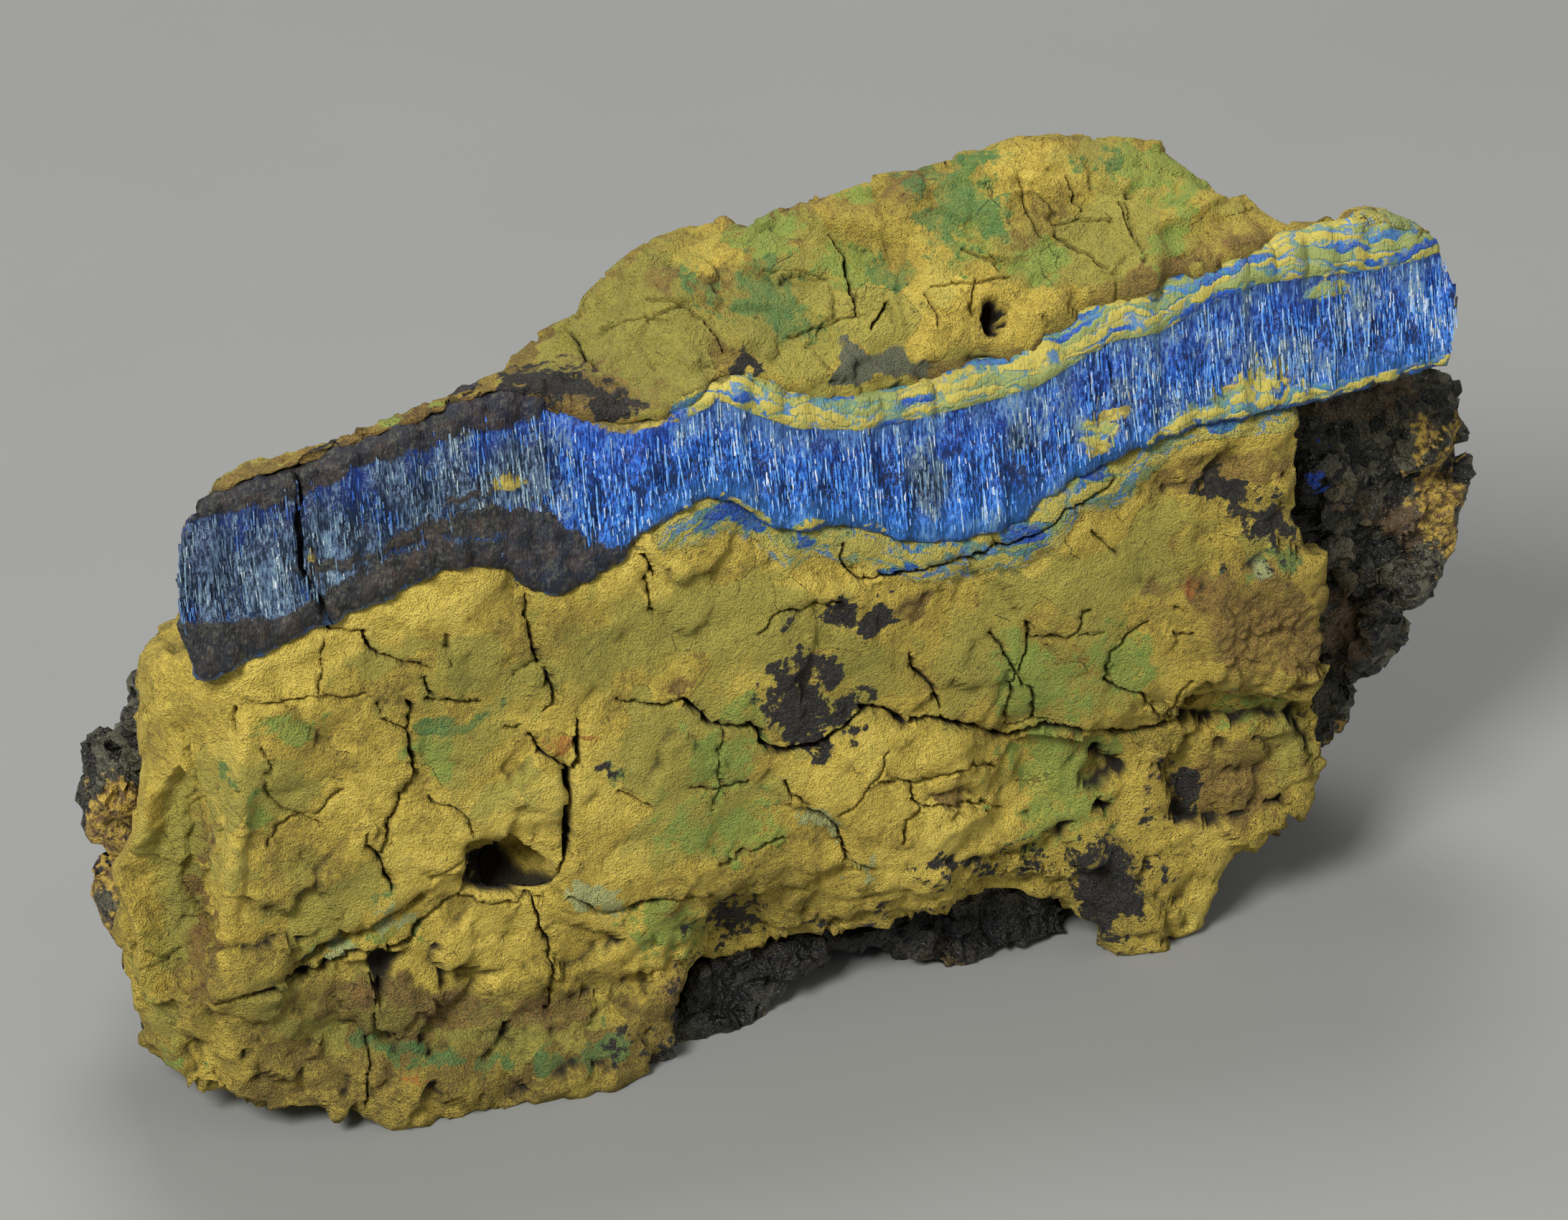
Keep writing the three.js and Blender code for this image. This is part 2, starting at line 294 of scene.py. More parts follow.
def splitAtCracks(mesh, cracks, near, busy=()):   # smaller faces near cracks and in busy patches of the front
    points, seen = pointsOf(mesh), facingOf(normalsOf(mesh))
    drawn = crackPixels(points)
    far = np.min([strokeDistance(drawn, path)[0] for paths in cracks.values() for path in paths], axis=0)
    chosen = ((far < near) | (spots(pixelsOf(points), busy) > 0.5)) & (seen > 0.3)
    bm = bmesh.new()
    bm.from_mesh(mesh)
    bm.verts.ensure_lookup_table()
    edges = [e for e in bm.edges if chosen[e.verts[0].index] and chosen[e.verts[1].index]]
    bmesh.ops.subdivide_edges(bm, edges=edges, cuts=2, use_grid_fill=True)
    bm.to_mesh(mesh)
    bm.free()


def keepMasks(mesh, **masks):   # numbers on the points that the finishes read
    for name, values in masks.items():
        layer = mesh.attributes.new(name, "FLOAT", "POINT")
        layer.data.foreach_set("value", np.asarray(values, np.float32))


def setPiece(name, mesh, finish, node, smooth=True):
    for polygon in mesh.polygons:
        polygon.use_smooth = smooth
    piece = bpy.data.objects.new(name, mesh)
    bpy.context.scene.collection.objects.link(piece)
    mesh.materials.clear()
    mesh.materials.append(finish)
    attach(piece, "root")
    if node:
        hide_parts(node)
    print("piece made:", name, sum(len(p.vertices) - 2 for p in mesh.polygons), "triangles")


# shaders
def colour(*rgb):   # screen colour, 0 to 255, as light
    return tuple(((c / 255 + 0.055) / 1.055) ** 2.4 if c > 10 else c / 255 / 12.92 for c in rgb) + (1.0,)


class Wire:   # a socket that can be used in sums
    def __init__(self, shader, socket):
        self.shader, self.socket = shader, socket

    def sum(self, operation, a, b):
        return self.shader.node("Math", {"operation": operation}, {0: a, 1: b})

    def __add__(self, other):
        return self.sum("ADD", self, other)

    def __radd__(self, other):
        return self.sum("ADD", other, self)

    def __sub__(self, other):
        return self.sum("SUBTRACT", self, other)

    def __rsub__(self, other):
        return self.sum("SUBTRACT", other, self)

    def __mul__(self, other):
        return self.sum("MULTIPLY", self, other)

    def __rmul__(self, other):
        return self.sum("MULTIPLY", other, self)

    def __or__(self, other):
        return self.sum("MAXIMUM", self, other)


class Finish:
    def __init__(self, name):
        self.material = bpy.data.materials.new(name)
        self.material.use_nodes = True
        self.tree = self.material.node_tree
        self.tree.nodes.clear()
        self.place = self.node("TexCoord", out="Object")

    def node(self, kind, settings={}, inputs={}, out=0):
        made = self.tree.nodes.new("ShaderNode" + kind)
        for name, value in settings.items():
            if name == "stops":
                for stop in range(len(value) - 2):
                    made.color_ramp.elements.new(0.5)
                for stop, (at, shade) in zip(made.color_ramp.elements, value):
                    stop.position, stop.color = at, shade
            else:
                setattr(made, name, value)
        for name, value in inputs.items():
            if isinstance(value, Wire):
                self.tree.links.new(value.socket, made.inputs[name])
            else:
                made.inputs[name].default_value = value
        return Wire(self, made.outputs[out]) if made.outputs else None

    def noise(self, size, detail=3.0, rough=0.55, place=None):   # size in mm
        inputs = {"Vector": place or self.place, "Scale": 1000 / size, "Detail": detail, "Roughness": rough}
        return self.node("TexNoise", {}, inputs)

    def grains(self, size, place, out=0, feature="F1"):   # outputs: distance, colour, place
        return self.node("TexVoronoi", {"feature": feature}, {"Vector": place, "Scale": 1000 / size}, out)

    def vector(self, operation, a, b, out=0):
        return self.node("VectorMath", {"operation": operation}, {0: a, 1: b}, out)

    def shifted(self, size, reach):   # the place pushed about by noise, both in mm
        push = self.node("TexNoise", {}, {"Vector": self.place, "Scale": 1000 / size}, 1)
        push = self.vector("SUBTRACT", push, (0.5, 0.5, 0.5))
        push = self.node("VectorMath", {"operation": "SCALE"}, {0: push, "Scale": reach / 1000})
        return self.vector("ADD", self.place, push)

    def flats(self, size, reach):   # rise in mm of tilted flats, and a number for each flat
        place = self.shifted(size * 0.7, reach)
        middle, number = self.grains(size, place, 2), self.grains(size, place, 1)
        arm = self.vector("SUBTRACT", place, middle)
        tilt = self.vector("SUBTRACT", number, (0.5, 0.5, 0.5))
        rise = self.vector("DOT_PRODUCT", arm, tilt, "Value") * 1000
        return rise, self.node("SeparateColor", {}, {0: number})

    def stretched(self, *scale):   # the place with each axis scaled
        return self.vector("MULTIPLY", self.place, scale)

    def mask(self, name):
        return self.node("Attribute", {"attribute_name": name}, out="Fac")

    def step(self, value, low, high):
        inputs = {"Value": value, "From Min": low, "From Max": high}
        return self.node("MapRange", {"interpolation_type": "SMOOTHSTEP"}, inputs)

    def mix(self, share, a, b):
        return self.node("Mix", {"data_type": "RGBA"}, {0: share, 6: a, 7: b}, 2)

    def shades(self, value, *stops):
        return self.node("ValToRGB", {"stops": stops}, {0: value})

    def bump(self, height, **under):   # height in mm
        return self.node("Bump", {}, {"Height": height, "Distance": 0.001, **under})

    def finish(self, **sockets):
        body = self.node("BsdfPrincipled", {}, {name.replace("_", " "): v for name, v in sockets.items()})
        self.node("OutputMaterial", {}, {"Surface": body})
        return self.material


ochreLook = {
    "earth": colour(124, 104, 46), "dull": colour(164, 143, 58), "plain": colour(200, 174, 70),
    "fresh": colour(228, 202, 92), "olive": colour(150, 146, 64), "green": colour(140, 158, 68),
    "teal": colour(84, 124, 66), "mint": colour(170, 180, 124), "black": colour(26, 25, 23),
    "soot": colour(66, 60, 50), "brown": colour(138, 108, 54), "bark": colour(82, 58, 32),
    # crackAndShade: the dark of fine cracks and specks, and painted shade in hollows
    "rust": colour(172, 98, 42), "stone": colour(116, 118, 92), "crackAndShade": colour(36, 29, 10),
    "slate": colour(86, 88, 68),
}
filmLook = {
    "yellow": colour(196, 180, 84), "sage": colour(150, 160, 92), "teal": colour(96, 142, 130),
    "azure": colour(66, 126, 186), "blue": colour(40, 86, 174),
}


def films(s, look):   # flat yellow flakes in blue films, in layers along the vein
    x, y = (s.node("SeparateXYZ", {}, {0: s.place}, k) * 1000 for k in (0, 1))
    layer = s.mask("across") + (s.noise(1.7, 4.0, 0.6) - 0.5) * 1.9
    drift = (s.noise(2.2, 3.0, 0.6) - 0.5) * 2.4
    place = s.node("CombineXYZ", {}, {0: x * 0.42 + drift, 1: y * 0.4, 2: layer * 2.3})
    number = s.node("SeparateColor", {}, {0: s.grains(1000, place, 1)})
    rim = s.grains(1000, place, 0, "DISTANCE_TO_EDGE")
    fine = s.noise(0.3, 3.0, 0.6)
    level = number + (fine - 0.5) * 0.5 + s.mask("filmShift")
    shade = s.shades(level, (0.0, look["yellow"]), (0.46, look["yellow"]), (0.58, look["sage"]),
                     (0.80, look["sage"]), (0.89, look["teal"]), (0.96, look["azure"]), (1.0, look["blue"]))
    film = s.mix(s.step(s.noise(0.8, 2.0), 0.42, 0.58), look["teal"], look["azure"])
    thin = 1 - s.step(rim + (fine - 0.5) * 0.16 + (s.noise(1.1, 3.0) - 0.5) * 0.36, 0.0, 0.07)
    shade = s.mix(thin * 0.85, s.mix(s.step(fine, 0.5, 0.62) * 0.35, shade, look["sage"]), film)
    return shade, s.step(rim, 0.0, 0.2)


def ochreFinish(name, look):
    s = Finish(name)
    broad, mid = s.noise(5.0, 3.0), s.noise(1.3, 5.0, 0.65)
    fine, dust = s.noise(0.36, 4.0, 0.7), s.noise(0.09, 2.0)
    edge = (mid - 0.5) * 0.8 + (fine - 0.5) * 0.6   # ragged borders of the patches
    large, patch = s.flats(2.4, 1.2)
    small, chip = s.flats(0.75, 0.4)
    hollow = s.mask("hollow")
    level = 0.50 + (broad - 0.5) * 0.5 + (mid - 0.5) * 0.6 + (fine - 0.5) * 0.8
    level = level + (patch - 0.5) * 0.26 + (chip - 0.5) * 0.14
    level = level + s.mask("fresh") * 0.3 - s.mask("dim") * 0.4 + (dust - 0.5) * 0.4
    shade = s.shades(level, (0.12, look["earth"]), (0.34, look["dull"]), (0.56, look["plain"]),
                     (0.84, look["fresh"]))
    olive = s.step(s.mask("olive") + edge * 1.0 + (patch - 0.5) * 0.8, 0.3, 0.7)
    shade = s.mix(olive * 0.7, shade, look["olive"])
    bark = s.mix(s.step(fine * 0.7 + dust * 0.3, 0.38, 0.56), look["bark"], look["brown"])
    shade = s.mix(s.step(s.mask("brown") + edge * 1.6, 0.36, 0.7) * 0.8, shade, bark)
    shade = s.mix(s.step(s.mask("rust") + edge * 1.3, 0.42, 0.65) * 0.7, shade, look["rust"])
    green = s.step(s.mask("green") + edge * 1.3 + (chip - 0.5) * 0.35, 0.36, 0.6)
    shade = s.mix(green * (0.3 + mid + (fine - 0.5)), shade, look["green"])
    teal = s.step(s.mask("teal") + edge * 1.5 + (chip - 0.5) * 0.4, 0.38, 0.62)
    shade = s.mix(teal * (0.2 + mid + (fine - 0.5)), shade, look["teal"])
    shade = s.mix(s.step(s.mask("mint") + edge * 1.4, 0.42, 0.6) * 0.75, shade, look["mint"])
    stone = s.mix(fine, look["slate"], look["stone"])
    shade = s.mix(s.step(s.mask("stone") + edge * 0.5, 0.45, 0.55), shade, stone)
    zone = s.step(s.mask("films") + edge * 0.8, 0.4, 0.56)
    layers, scale = films(s, filmLook)
    shade = s.mix(zone, shade, layers)
    black = s.step(s.mask("black") + edge * 1.5, 0.45, 0.55)
    soot = s.mix(s.step(dust * 0.5 + fine * 0.5, 0.42, 0.66), look["black"], look["soot"])
    shade = s.mix(black, shade, soot)
    speck = s.step(s.noise(0.5, 2.0), 0.68, 0.73) * s.step(s.noise(3.0, 2.0), 0.48, 0.62)
    shade = s.mix(speck * 0.6, shade, look["crackAndShade"])
    seam = s.grains(2.4, s.shifted(1.68, 1.2), 0, "DISTANCE_TO_EDGE")
    hairline = (1 - s.step(seam, 0.0, 0.013)) * s.step(s.noise(2.0, 3.0), 0.55, 0.62)
    shade = s.mix(hairline * 0.5, shade, look["crackAndShade"])
    # painted shade: darker in hollows, crack grooves and pits
    shade = s.mix(s.step(hollow, 0.03, 0.36), shade, look["crackAndShade"])
    # painted highlight: lighter on ridges
    shade = s.mix(s.step(0 - hollow, 0.03, 0.2) * 0.3, shade, look["fresh"])
    broken = (large * 0.24 + small * 0.34 + (mid - 0.5) * 0.4) * s.mask("rugged")
    coarse = s.bump(broken - hairline * 0.05 + scale * zone * 0.05)
    normal = s.bump(fine * 0.34 + dust * 0.14, Normal=coarse)
    return s.finish(Base_Color=shade, Roughness=0.92 - black * 0.4, Normal=normal)


# lower wall rock
matrix = {
    # near: pixels from a crack to the end of its small faces; film spans: pixels across the picture
    "voxel": 0.28, "grow": 0.18, "rounds": 4, "near": 9, "filmStart": (860, 960), "filmEnd": (1800, 1900),
    "filmThins": (1560, 1650),
    "cracks": {   # (about the width, depth) in mm, paths in pixels
        (0.06, 0.3): [
            [(455, 872), (452, 900), (446, 908), (448, 925), (442, 962)],
            [(365, 1040), (372, 1060), (368, 1085), (375, 1110), (395, 1128), (420, 1132), (440, 1130),
                (455, 1112), (480, 1100)],
            [(368, 1180), (373, 1165), (385, 1150), (405, 1137), (430, 1135), (447, 1145)],
            [(600, 1222), (620, 1210), (640, 1196)], [(618, 880), (620, 905), (625, 922)],
            [(715, 938), (733, 928), (745, 922)], [(1355, 1118), (1365, 1126), (1390, 1124)],
            [(1008, 1012), (1005, 1045), (997, 1070), (998, 1095), (990, 1125)],
            [(858, 1100), (880, 1108), (905, 1122)], [(1500, 882), (1530, 877)],
            [(1635, 840), (1648, 852)], [(1632, 882), (1658, 881)],
        ],
        (0.07, 0.3): [
            [(456, 872), (480, 874), (500, 875)], [(701, 1005), (713, 1012), (726, 1011)],
            [(350, 978), (400, 975), (440, 966)], [(450, 970), (480, 972), (505, 965)],
        ],
        (0.07, 0.4): [
            [(524, 977), (532, 997), (553, 1012), (567, 1016)], [(858, 976), (880, 981), (906, 983)],
            [(1398, 1004), (1440, 998), (1460, 1004)], [(958, 1095), (1000, 1097), (1040, 1085)],
            [(1516, 738), (1535, 752), (1552, 768)],
        ],
        (0.08, 0.4): [[(593, 1112), (612, 1119), (634, 1121), (650, 1140), (662, 1160)]],
        (0.08, 0.5): [
            [(506, 1155), (513, 1175), (524, 1192)], [(518, 1404), (511, 1536)],
            [(1232, 1040), (1217, 1070), (1195, 1098), (1165, 1128)],
            [(1215, 1083), (1235, 1086), (1268, 1086), (1300, 1085), (1345, 1065), (1380, 1060)],
            [(1281, 1117), (1265, 1142), (1252, 1170)],
            [(1377, 878), (1395, 905), (1413, 933), (1425, 950), (1440, 968), (1437, 998)],
            [(1432, 892), (1455, 885), (1490, 883), (1500, 875), (1503, 858), (1514, 847)],
            [(1654, 940), (1640, 955), (1630, 975), (1622, 988)],
        ],
        (0.09, 0.4): [[(526, 912), (560, 922), (600, 928)]],
        (0.09, 0.5): [
            [(901, 805), (911, 855)],
            [(1056, 880), (1078, 855), (1082, 848), (1110, 846), (1130, 838), (1168, 838)],
            [(1283, 1118), (1320, 1116), (1368, 1113)], [(1000, 1200), (1040, 1185), (1090, 1165)],
        ],
        (0.1, 0.6): [
            [(588, 940), (597, 965)], [(590, 972), (610, 974), (640, 974), (668, 974)],
            [(896, 770), (912, 798)], [(1268, 1088), (1273, 1110), (1281, 1117)],
            [(1090, 1085), (1110, 1108), (1130, 1130), (1150, 1135), (1165, 1150), (1180, 1195),
                (1215, 1210)],
            [(1434, 865), (1432, 892), (1415, 935), (1405, 965), (1398, 1000)],
            [(1597, 862), (1570, 880), (1560, 895), (1543, 905), (1540, 925), (1536, 945), (1560, 958),
                (1590, 965), (1615, 988)],
        ],
        (0.11, 0.7): [
            [(1172, 755), (1171, 785), (1195, 803), (1215, 805), (1245, 795), (1285, 790), (1330, 782),
                (1350, 768), (1400, 755), (1440, 742), (1460, 728), (1475, 705), (1500, 698),
                (1545, 665)],
        ],
        (0.12, 0.5): [[(640, 1250), (700, 1252), (758, 1252)]],
        (0.13, 0.8): [
            [(733, 830), (738, 880), (741, 908), (751, 922)], [(740, 1256), (763, 1311), (760, 1404)],
            [(1264, 910), (1272, 935), (1290, 945), (1303, 960), (1308, 1000)],
        ],
        (0.14, 0.8): [
            [(501, 875), (513, 893), (526, 912)], [(760, 926), (768, 960), (769, 975), (757, 990)],
            [(735, 1020), (756, 1046), (791, 1073)], [(325, 985), (331, 1018)],
        ],
        (0.14, 0.9): [
            [(571, 976), (568, 1012), (568, 1035), (572, 1085), (560, 1108), (549, 1130), (535, 1170),
                (525, 1190), (534, 1220), (547, 1240)],
            [(518, 1344), (524, 1397)],
        ],
        (0.16, 0.9): [
            [(441, 840), (447, 852), (456, 872)], [(789, 1244), (842, 1271), (915, 1251), (988, 1244)],
        ],
        (0.2, 1.3): [
            [(906, 983), (930, 980), (955, 972), (963, 985), (990, 1007), (1012, 1009), (1045, 1009),
                (1058, 1015), (1060, 1032), (1080, 1040), (1105, 1042), (1130, 1035), (1155, 1025),
                (1185, 1000), (1215, 985), (1232, 987), (1265, 1003)],
        ],
        (0.22, 1.3): [
            [(299, 1397), (385, 1370), (431, 1350), (498, 1327), (571, 1311), (593, 1275), (605, 1262),
                (637, 1247)],
        ],
        (0.22, 1.4): [
            [(803, 1007), (804, 1030), (800, 1055), (791, 1075), (791, 1105), (789, 1130), (793, 1160),
                (789, 1180), (776, 1218)],
        ],
        (0.24, 1.3): [
            [(1255, 1002), (1310, 1003), (1345, 1010), (1390, 1020), (1430, 1013), (1480, 1009),
                (1540, 1019), (1567, 1014), (1600, 1005), (1640, 995), (1710, 965)],
        ],
    },
    "fresh": [
        (420, 905, 190, 22, -22), (600, 850, 90, 24, -12), (700, 810, 40, 26), (900, 800, 60, 28, -35),
        (1000, 735, 60, 22), (1132, 820, 42, 24), (1205, 790, 60, 22), (1380, 770, 110, 20, -10),
        (1560, 690, 90, 18, -22), (1690, 640, 60, 16), (330, 1130, 26, 200, 3), (480, 1120, 70, 40),
        (700, 1120, 70, 90), (860, 1130, 60, 90), (1180, 1100, 90, 50), (1330, 1160, 70, 60),
        (300, 1440, 40, 60), (1700, 1230, 50, 90), (640, 1330, 90, 40), (1010, 1330, 70, 30),
        (215, 1250, 22, 150, 6),
    ],
    "olive": [
        (870, 905, 130, 55), (640, 945, 120, 35), (1450, 930, 110, 80), (400, 1110, 60, 60),
        (1560, 800, 160, 50, -18), (1060, 860, 120, 45), (1180, 930, 80, 50), (580, 1420, 160, 40, 6),
        (1790, 1040, 60, 60), (650, 1060, 60, 60), (420, 1220, 70, 80), (980, 1080, 90, 90),
        (245, 1250, 40, 140, 2),
    ],
    "green": [
        (398, 1015, 42, 18), (372, 1138, 16, 22), (606, 1050, 30, 34), (1032, 986, 36, 22),
        (1010, 1052, 42, 40, 12), (955, 1150, 38, 26), (1038, 1155, 46, 30), (1475, 1090, 66, 68, 30),
        (1450, 950, 60, 46), (930, 1290, 44, 34), (1402, 1290, 24, 22), (240, 1485, 16, 28),
        (1735, 985, 34, 22), (500, 1310, 62, 14, -16), (1560, 930, 40, 40),
    ],
    "mint": [(1747, 783, 15, 12)],
    "teal": [
        (1746, 784, 22, 18), (1800, 775, 16, 14), (838, 1072, 20, 8), (535, 1232, 12, 9),
        (318, 1085, 7, 10),
    ],
    "tealLines": [
        (7, [(578, 1012), (640, 1006), (705, 984)]),
        (8, [(505, 1448), (590, 1460), (650, 1478), (705, 1482)]),
        (9, [(765, 1486), (810, 1470), (862, 1448)]),
    ],
    "mintLines": [
        (7, [(1088, 1090), (1125, 1135), (1165, 1152), (1180, 1195), (1215, 1212)]),
        (10, [(800, 1240), (850, 1262)]), (7, [(455, 1325), (500, 1300), (560, 1285)]),
    ],
    "black": [
        (1132, 918, 22, 16), (1108, 985, 46, 46), (1182, 980, 26, 20), (1196, 1020, 20, 14),
        (1130, 1047, 24, 10), (1090, 940, 22, 14), (1165, 940, 16, 14), (1540, 1240, 50, 60),
        (838, 1072, 18, 9), (1648, 1105, 9, 26), (1762, 720, 42, 22, 12), (1708, 680, 30, 14, 20),
        (1335, 1205, 30, 14), (1020, 1285, 34, 26),
    ],
    "gritty": [
        (1540, 1240, 90, 110), (1020, 1300, 70, 60), (1010, 1360, 90, 40), (1335, 1215, 90, 40),
        (1448, 1200, 60, 60), (1290, 1280, 120, 40), (1180, 1270, 90, 40), (1430, 1280, 90, 40),
        (1120, 1340, 130, 30), (1275, 1330, 140, 26), (1500, 1330, 120, 24), (1585, 1190, 40, 60),
        (940, 1420, 60, 50), (1640, 1100, 40, 60), (1750, 760, 60, 60), (880, 1460, 50, 40),
    ],
    "blackLines": [
        (9, [(1092, 866), (1150, 855), (1212, 862), (1235, 845)]),
        (7, [(1140, 848), (1190, 838), (1240, 815)]),
    ],
    "brown": [
        (1262, 842, 34, 12, -12), (1632, 745, 15, 12), (1765, 870, 90, 70), (1690, 830, 40, 30),
        (1715, 900, 30, 50), (1810, 915, 40, 26), (1620, 820, 30, 16), (1690, 655, 90, 24, -12),
        (1770, 655, 50, 16, -20), (1650, 690, 40, 10, -20), (284, 1250, 9, 130, 1), (285, 1385, 22, 16),
        (1325, 1106, 36, 9, -4), (1175, 832, 40, 8, -14), (1850, 1050, 20, 40), (640, 1400, 180, 22, 6),
        (950, 955, 26, 12), (1700, 1100, 80, 60), (1000, 1390, 80, 40),
    ],
    "dim": [(560, 1480, 360, 80, 4), (640, 1395, 240, 24, 4), (245, 1280, 36, 110, 2)],
    "slabs": [
        (1313, 738, 30, 15, -8), (1375, 711, 14, 20), (1514, 652, 26, 15, -16), (985, 722, 30, 8, -40),
        (1030, 722, 30, 8, 34), (1250, 790, 26, 6, -12), (1420, 744, 30, 6, -10), (1115, 752, 14, 8, 20),
    ],
    "rust": [
        (780, 1036, 16, 9), (832, 1028, 18, 10), (585, 1513, 26, 8), (418, 1503, 14, 8),
        (1650, 820, 20, 12),
    ],
    "even": [   # the flat front
        (800, 1080, 620, 220), (1400, 880, 420, 160, -14), (700, 900, 420, 90), (1050, 800, 300, 90),
    ],
    "ridges": [   # height in mm, half width in pixels
        (0.45, 9, [(345, 1002), (338, 1054), (337, 1105), (327, 1215), (317, 1270), (310, 1318),
            (303, 1397)]),
        (0.6, 10, [(219, 1105), (207, 1164), (188, 1215), (193, 1239), (203, 1267), (210, 1329),
            (217, 1387)]),
        (0.4, 12, [(900, 1390), (870, 1450), (850, 1500)]),
    ],
    "grains": [(284, 1250, 14, 140, 1), (1760, 870, 90, 70)],
    "chunky": [
        (1230, 1270, 330, 60, -6), (980, 1330, 80, 90), (1740, 1060, 140, 100, -12), (230, 960, 60, 30),
    ],
    "busy": [   # where the faces are smallest
        (265, 1200, 90, 210), (705, 1210, 90, 60), (1765, 875, 90, 70),
    ],
    "steps": [   # rise in mm of a flat with sharp edges
        (-0.8, [(643, 1190), (668, 1172), (695, 1169), (725, 1190), (778, 1216), (758, 1243),
            (643, 1243)]),
        (-1.0, [(506, 1327), (572, 1316), (527, 1402)]),
        (-0.8, [(255, 1057), (289, 1102), (297, 1160), (297, 1222), (292, 1284), (292, 1346), (295, 1393),
            (217, 1389), (212, 1330), (204, 1267), (196, 1240), (192, 1216), (210, 1164), (222, 1105)]),
        (0.55, [(1680, 795), (1850, 760), (1868, 900), (1855, 950), (1690, 960), (1665, 900)]),
        (-0.45, [(1282, 1117), (1285, 1103), (1310, 1095), (1345, 1090), (1360, 1095), (1370, 1113)]),
        (0.35, [(1092, 842), (1100, 800), (1165, 798), (1172, 838)]),
        (0.25, [(1165, 1030), (1270, 1010), (1385, 1022), (1390, 1112), (1300, 1182), (1190, 1165),
            (1130, 1120)]),
        (-0.25, [(1405, 1022), (1540, 1022), (1548, 1130), (1480, 1168), (1420, 1150)]),
        (0.2, [(590, 1010), (700, 990), (780, 1010), (785, 1150), (690, 1160), (600, 1120)]),
        (-0.25, [(1600, 985), (1700, 970), (1850, 965), (1880, 1010), (1790, 1090), (1650, 1080)]),
        (-0.4, [(1310, 1190), (1400, 1185), (1460, 1220), (1430, 1270), (1330, 1260)]),
        (-0.5, [(985, 1250), (1060, 1245), (1085, 1310), (1040, 1350), (980, 1320)]),
    ],
}


def matrixStone():
    mesh = fineCopy("ochre_matrix", matrix["voxel"])
    putPoints(mesh, soften(pointsOf(mesh), linksOf(mesh), matrix["rounds"]))
    splitAtCracks(mesh, matrix["cracks"], matrix["near"], matrix["busy"])
    points, normals, pixels, seen = surfaceOf(mesh)
    links = linksOf(mesh)
    rugged = 1 - 0.7 * seen * ramp(spots(pixels, matrix["even"]), 0.3, 0.6)
    chunky = ramp(spots(pixels, matrix["chunky"]), 0.3, 0.6)
    relief = (0.10 + 0.30 * rugged) * facets(points, 4.6, 5, 0.3, 1.5, 81)
    relief += (0.06 + 0.36 * rugged) * facets(points, 1.9, 6, 0.15, 0.8, 84)
    relief += 0.45 * chunky * facets(points, 1.3, 16, 0.1, 0.8, 85)
    relief += (0.04 + 0.1 * rugged) * wander(points, 3.2, 1) + rugged * 0.10 * wander(points, 1.2, 2)
    uneven = pixels + 3 * shaken(points, 1.5, 87)[:, :2]
    for high, wide, path in matrix["ridges"]:
        relief += high * seen * np.clip(1 - strokeDistance(uneven, path)[0] / wide / 2, 0, 1)
    loose = pixelsOf(points + 0.12 * shaken(points, 1.2, 97))
    for high, outline in matrix["steps"]:
        relief += high * seen * within(loose, outline, 9)
    grain = 1 - crumbs(points, 0.5, 6)[0] / 0.4
    relief += 0.2 * grain * seen * ramp(spots(pixels, matrix["grains"]), 0.3, 0.6)
    below = -above(pixels, veinFloorLine)
    lip = seen * (1 - ramp(below, 10, 60)) * (below > -40)   # the rock swells to meet the vein
    pit = np.max([within(loose, outline, 6) for high, outline in matrix["steps"][:2]], axis=0) * seen
    groove = grooves(points, matrix["cracks"]) * seen * (1 - pit)
    points = points + normals * (relief * (1 - 0.6 * lip) + 0.4 * lip - groove + matrix["grow"])[:, None]
    points[:, 2] = np.maximum(points[:, 2], 0.0)
    putPoints(mesh, points)

    torn, hidden = ragged(points, 91), 1 - seen
    stains = {
        "fresh": 0.3 * hidden, "olive": 0.6 * hidden * blotches(points, 8.0, 24, -0.6, 0.6),
        "green": hidden * blotches(points, 5.0, 21, 0.1, 0.9), "rust": 0, "teal": 0,
        "brown": hidden * blotches(points, 5.0, 23, -0.2, 0.9),
        "black": hidden * blotches(points, 6.0, 22, 0.0, 0.9),
    }
    gritty = 0.38 * ramp(spots(torn, matrix["gritty"]), 0.2, 0.6)
    streaks = {
        "teal": lines(torn, matrix["tealLines"]),
        "black": np.maximum(lines(torn, matrix["blackLines"]), gritty),
    }
    for name, values in stains.items():
        painted = np.maximum(spots(torn, matrix[name]), streaks.get(name, 0))
        keepMasks(mesh, **{name: values + seen * painted})
    slabs = ramp(spots(pixels, matrix["slabs"]), 0.4, 0.5)
    depth = 96 - 70 * fade(pixels, matrix["filmThins"])
    flaky = fade(pixels, matrix["filmStart"]) * (1 - fade(pixels, matrix["filmEnd"]))
    keepMasks(
        mesh, dim=seen * spots(torn, matrix["dim"]), rugged=0.35 + 0.65 * rugged,
        mint=seen * np.maximum(lines(torn, matrix["mintLines"]), 0.85 * spots(pixels, matrix["mint"])),
        films=seen * flaky * np.maximum(1 - ramp(below, 3, depth), slabs),
        filmShift=-0.02 - ramp(below, 0, 90) * 0.3 + slabs, across=-below / picture["perMm"],
        # painted shade: the finish darkens hollows, crack grooves and the pit
        hollow=np.maximum(hollowsOf(points, normals, links), 0.5 * groove + 0.34 * pit))
    setPiece("matrix_stone", mesh, ochreFinish("ochre stone", ochreLook), "ochre_matrix")


